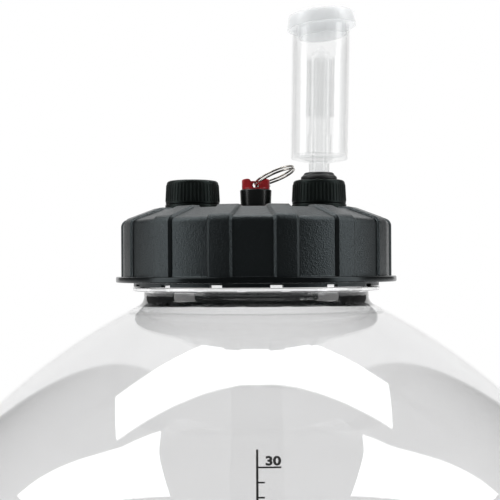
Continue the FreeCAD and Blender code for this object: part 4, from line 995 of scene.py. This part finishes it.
def makeHead():
    v = valve
    top, floor = headZ + v["headHeight"], headZ + v["floor"]
    over = top + v["cutOver"]
    lobe = v["lobeHalf"] - v["kneeHalf"]
    head = meshObject("pullHead", turned([
        (0, headZ - v["hubLength"], 0), (v["hub"], headZ - v["hubLength"], 0.0002), (v["hub"], headZ, 0),
        (v["head"], headZ, 0.0003), (v["head"], top, v["headRound"]), (0, top, 0)], 5, v["steps"], False))
    half = [(v["floorHalf"], floor), (v["kneeHalf"], headZ + v["kneeHeight"]), (v["kneeHalf"], top - lobe)]
    half += arc((v["lobeHalf"], top - lobe), lobe, 180, 90, 5)[1:] + [(v["lobeHalf"], over)]
    carve(head, extruded("valley", half + [(-x, z) for x, z in half[::-1]], v["cutReach"]))
    for side in (-1, 1):
        slab = block("flat", v["cutReach"], floor, over, v["slabHalf"])
        slab.data.transform(Matrix.Translation((0, side * (v["lobeDepth"] + v["slabHalf"]), 0)))
        carve(head, slab)
    web = block("web", v["lobeHalf"], floor - v["webSink"], headZ + v["webHeight"], v["web"] / 2)
    carve(head, web, "UNION")
    eyePlace = (Matrix.Translation((0, 0, headZ + v["eyeHeight"]))
                @ Matrix.Rotation(radians(90), 4, "X"))
    carve(head, rod("eyeDrill", v["eye"], -v["eyeReach"], v["eyeReach"], v["eyeSteps"], eyePlace))
    soften(head, v["headEdge"], 35)
    seat(head, "valve_head", headRed, ["prv_pull_head"])


def makePullRing():
    v = valve
    middle = v["ringPitch"] * ((180 - v["ringEnd"]) / 360 + (v["ringTurns"] - 1) / 2)
    ring = grow("pullRing", wireTree, {
        "Radius": v["ringRadius"], "Turns": v["ringTurns"], "Height": v["ringPitch"] * v["ringTurns"],
        "Wire": v["ringWire"], "Flat": v["ringFlat"], "Points": v["ringPoints"],
        "End": (0, 0, radians(v["ringEnd"])), "Centre": (v["ringRadius"], 0, -middle),
        "Tilt": (-radians(v["ringRoll"]), -radians(v["ringTilt"]), 0),
        "Eye": (0, 0, headZ + v["eyeHeight"]), "Material": ringNickel})
    seat(smooth(ring, v["wireSharp"]), "pull_ring", ringNickel, ["prv_pull_ring"])


# The spring stays under its retainer
def makeSpring():
    v = valve
    foot, roof = low("prv_spring").z, low("prv_spring_retainer").z
    spring = grow("liftSpring", wireTree, {
        "Radius": v["spring"], "Turns": v["springTurns"],
        "Height": high("prv_spring").z - foot - 2 * v["springWire"], "Wire": v["springWire"],
        "Flat": 1.0, "Points": v["springPoints"], "Eye": (0, 0, foot + v["springWire"]),
        "Material": springSteel})
    seat(smooth(spring, v["wireSharp"]), "lid", springSteel, ["prv_spring"])
    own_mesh(spring)


makeValveBody()
makeHead()
makePullRing()
makeSpring()
print("relief valve ready")


# ---- pieces that keep the shape of their solid ----

for node, material in {
        "stand_ring": standBlack, "lid_o_ring": rubberBlack, "blank_cap_liner": linerWhite,
        "airlock_cap_gasket": linerWhite, "prv_o_ring": rubberBlack, "prv_lock_nut": capBlack,
        "prv_seat_seal": rubberBlack, "prv_stem": valveBlack, "prv_spring_retainer": valveBlack}.items():
    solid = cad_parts[node]
    solid.data.materials.clear()
    solid.data.materials.append(material)


# ---- floor, light and camera ----

studio = {
    "floorSize": 30.0, "floorNear": 0.5, "floorFar": 1.1, "floorTone": 0.86, "floorTurn": 0.3,
    "ambient": 0.2, "frontTone": 0.12, "backTone": 1.0, "backdropStart": 0.15, "backdropRise": 3.0,
    "backdropSpread": 0.6, "backdropFlare": 0.2, "backdropBlur": 0.012,
    "roomHeight": 1.33, "radiance": 3.8, "sideHeight": 0.12, "sideRadiance": 2.4, "bounces": 32,
}
view = {
    "lens": 72.0, "sensor": 36.0, "shift": (-0.0124, 0.04), "clip": (0.02, 60.0),
    "away": 0.5556, "overWall": 0.1462, "roll": -0.3,
}


def softbox(name, spot, turns, size, radiance):
    data = bpy.data.lights.new(name, "AREA")
    data.shape = "RECTANGLE"
    data.size, data.size_y = size
    data.energy = radiance * pi * data.size * data.size_y
    lamp = addObject(name, data)
    lamp.location = spot
    lamp.rotation_euler = [radians(turn) for turn in turns]
    lamp.visible_camera = False


def makeFloor():
    half = studio["floorSize"] / 2
    mesh = bmesh.new()
    mesh.faces.new([mesh.verts.new((half * x, half * y, 0)) for x, y in ((-1, -1), (1, -1), (1, 1), (-1, 1))])
    floor = meshObject("floor", mesh)
    paint = Paint("floorPale")
    away = paint.add("VectorMath", {0: paint.place()}, "Value", operation="LENGTH")
    far = paint.fade(away, studio["floorNear"], studio["floorFar"])
    deep = paint.add("SeparateXYZ", {0: paint.place()}, "Y")
    behind = paint.fade(deep, -studio["floorTurn"], studio["floorTurn"])
    mirror = paint.ray("Glossy")
    seen = paint.ray("Camera").math("MAXIMUM", paint.ray("Transmission")).math("MAXIMUM", mirror * behind)
    plain = paint.add("BsdfDiffuse", {"Color": colour(*[studio["floorTone"]] * 3)})
    shown = paint.mix(far * seen, plain, paint.glow("Emission", 1.0))
    dim = paint.glow("Emission", studio["frontTone"])
    floor.data.materials.append(paint.surface(paint.mix(mirror * (1 - behind), shown, dim)))


def makeWorld():
    world = bpy.data.worlds.new("studio")
    scene.world = world
    paint = Paint("studio", world)
    camera = paint.ray("Camera").math("MAXIMUM", paint.ray("Transmission"))
    mirror = paint.ray("Glossy")
    way = paint.add("TexCoord", out="Generated")
    across, depth, height = [paint.add("SeparateXYZ", {0: way}, axis) for axis in "XYZ"]
    reach = depth * studio["backdropSpread"] + height * studio["backdropFlare"]
    start = (depth - studio["backdropStart"]) * studio["backdropRise"]
    inside = reach.math("MINIMUM", start) - across.math("ABSOLUTE")
    back = paint.fade(inside, -studio["backdropBlur"], studio["backdropBlur"],
                      studio["frontTone"], studio["backTone"])
    other = (1 - mirror) * studio["ambient"] + mirror * back
    paint.surface(paint.glow("Background", camera + (1 - camera) * other), "OutputWorld")


def makeCamera():
    data = bpy.data.cameras.new("camera")
    data.lens = view["lens"]
    data.sensor_width = view["sensor"]
    data.shift_x, data.shift_y = view["shift"]
    data.clip_start, data.clip_end = view["clip"]
    camera = addObject("camera", data)
    camera.matrix_world = (Matrix.Translation((0, -view["away"], straightTopZ + view["overWall"]))
                           @ Matrix.Rotation(radians(90), 4, "X")
                           @ Matrix.Rotation(radians(view["roll"]), 4, "Z"))
    scene.camera = camera


makeFloor()
makeWorld()
makeCamera()
lampZ = straightTopZ + studio["roomHeight"]
sideZ = beadZ + studio["sideHeight"]
above, beside = studio["radiance"], studio["sideRadiance"]
for lamp in (
        ("overheadBox", (-0.026, 0.292, lampZ), (0, 0, 1.8), (1.70, 0.40), above),
        ("leftBox", (-1.84, -0.28, lampZ), (0, 0, -9), (2.45, 0.85), above),
        ("rightBox", (1.90, -0.28, lampZ), (0, 0, 9), (2.45, 0.85), above),
        ("leftStrip", (-1.256, -0.336, sideZ), (90, 0, -75), (0.6, 0.9), beside),
        ("rightStrip", (1.256, -0.336, sideZ), (90, 0, 75), (0.6, 0.9), beside)):
    softbox(*lamp)
scene.view_settings.view_transform = "Standard"
scene.cycles.transparent_max_bounces = studio["bounces"]
print("stage ready")
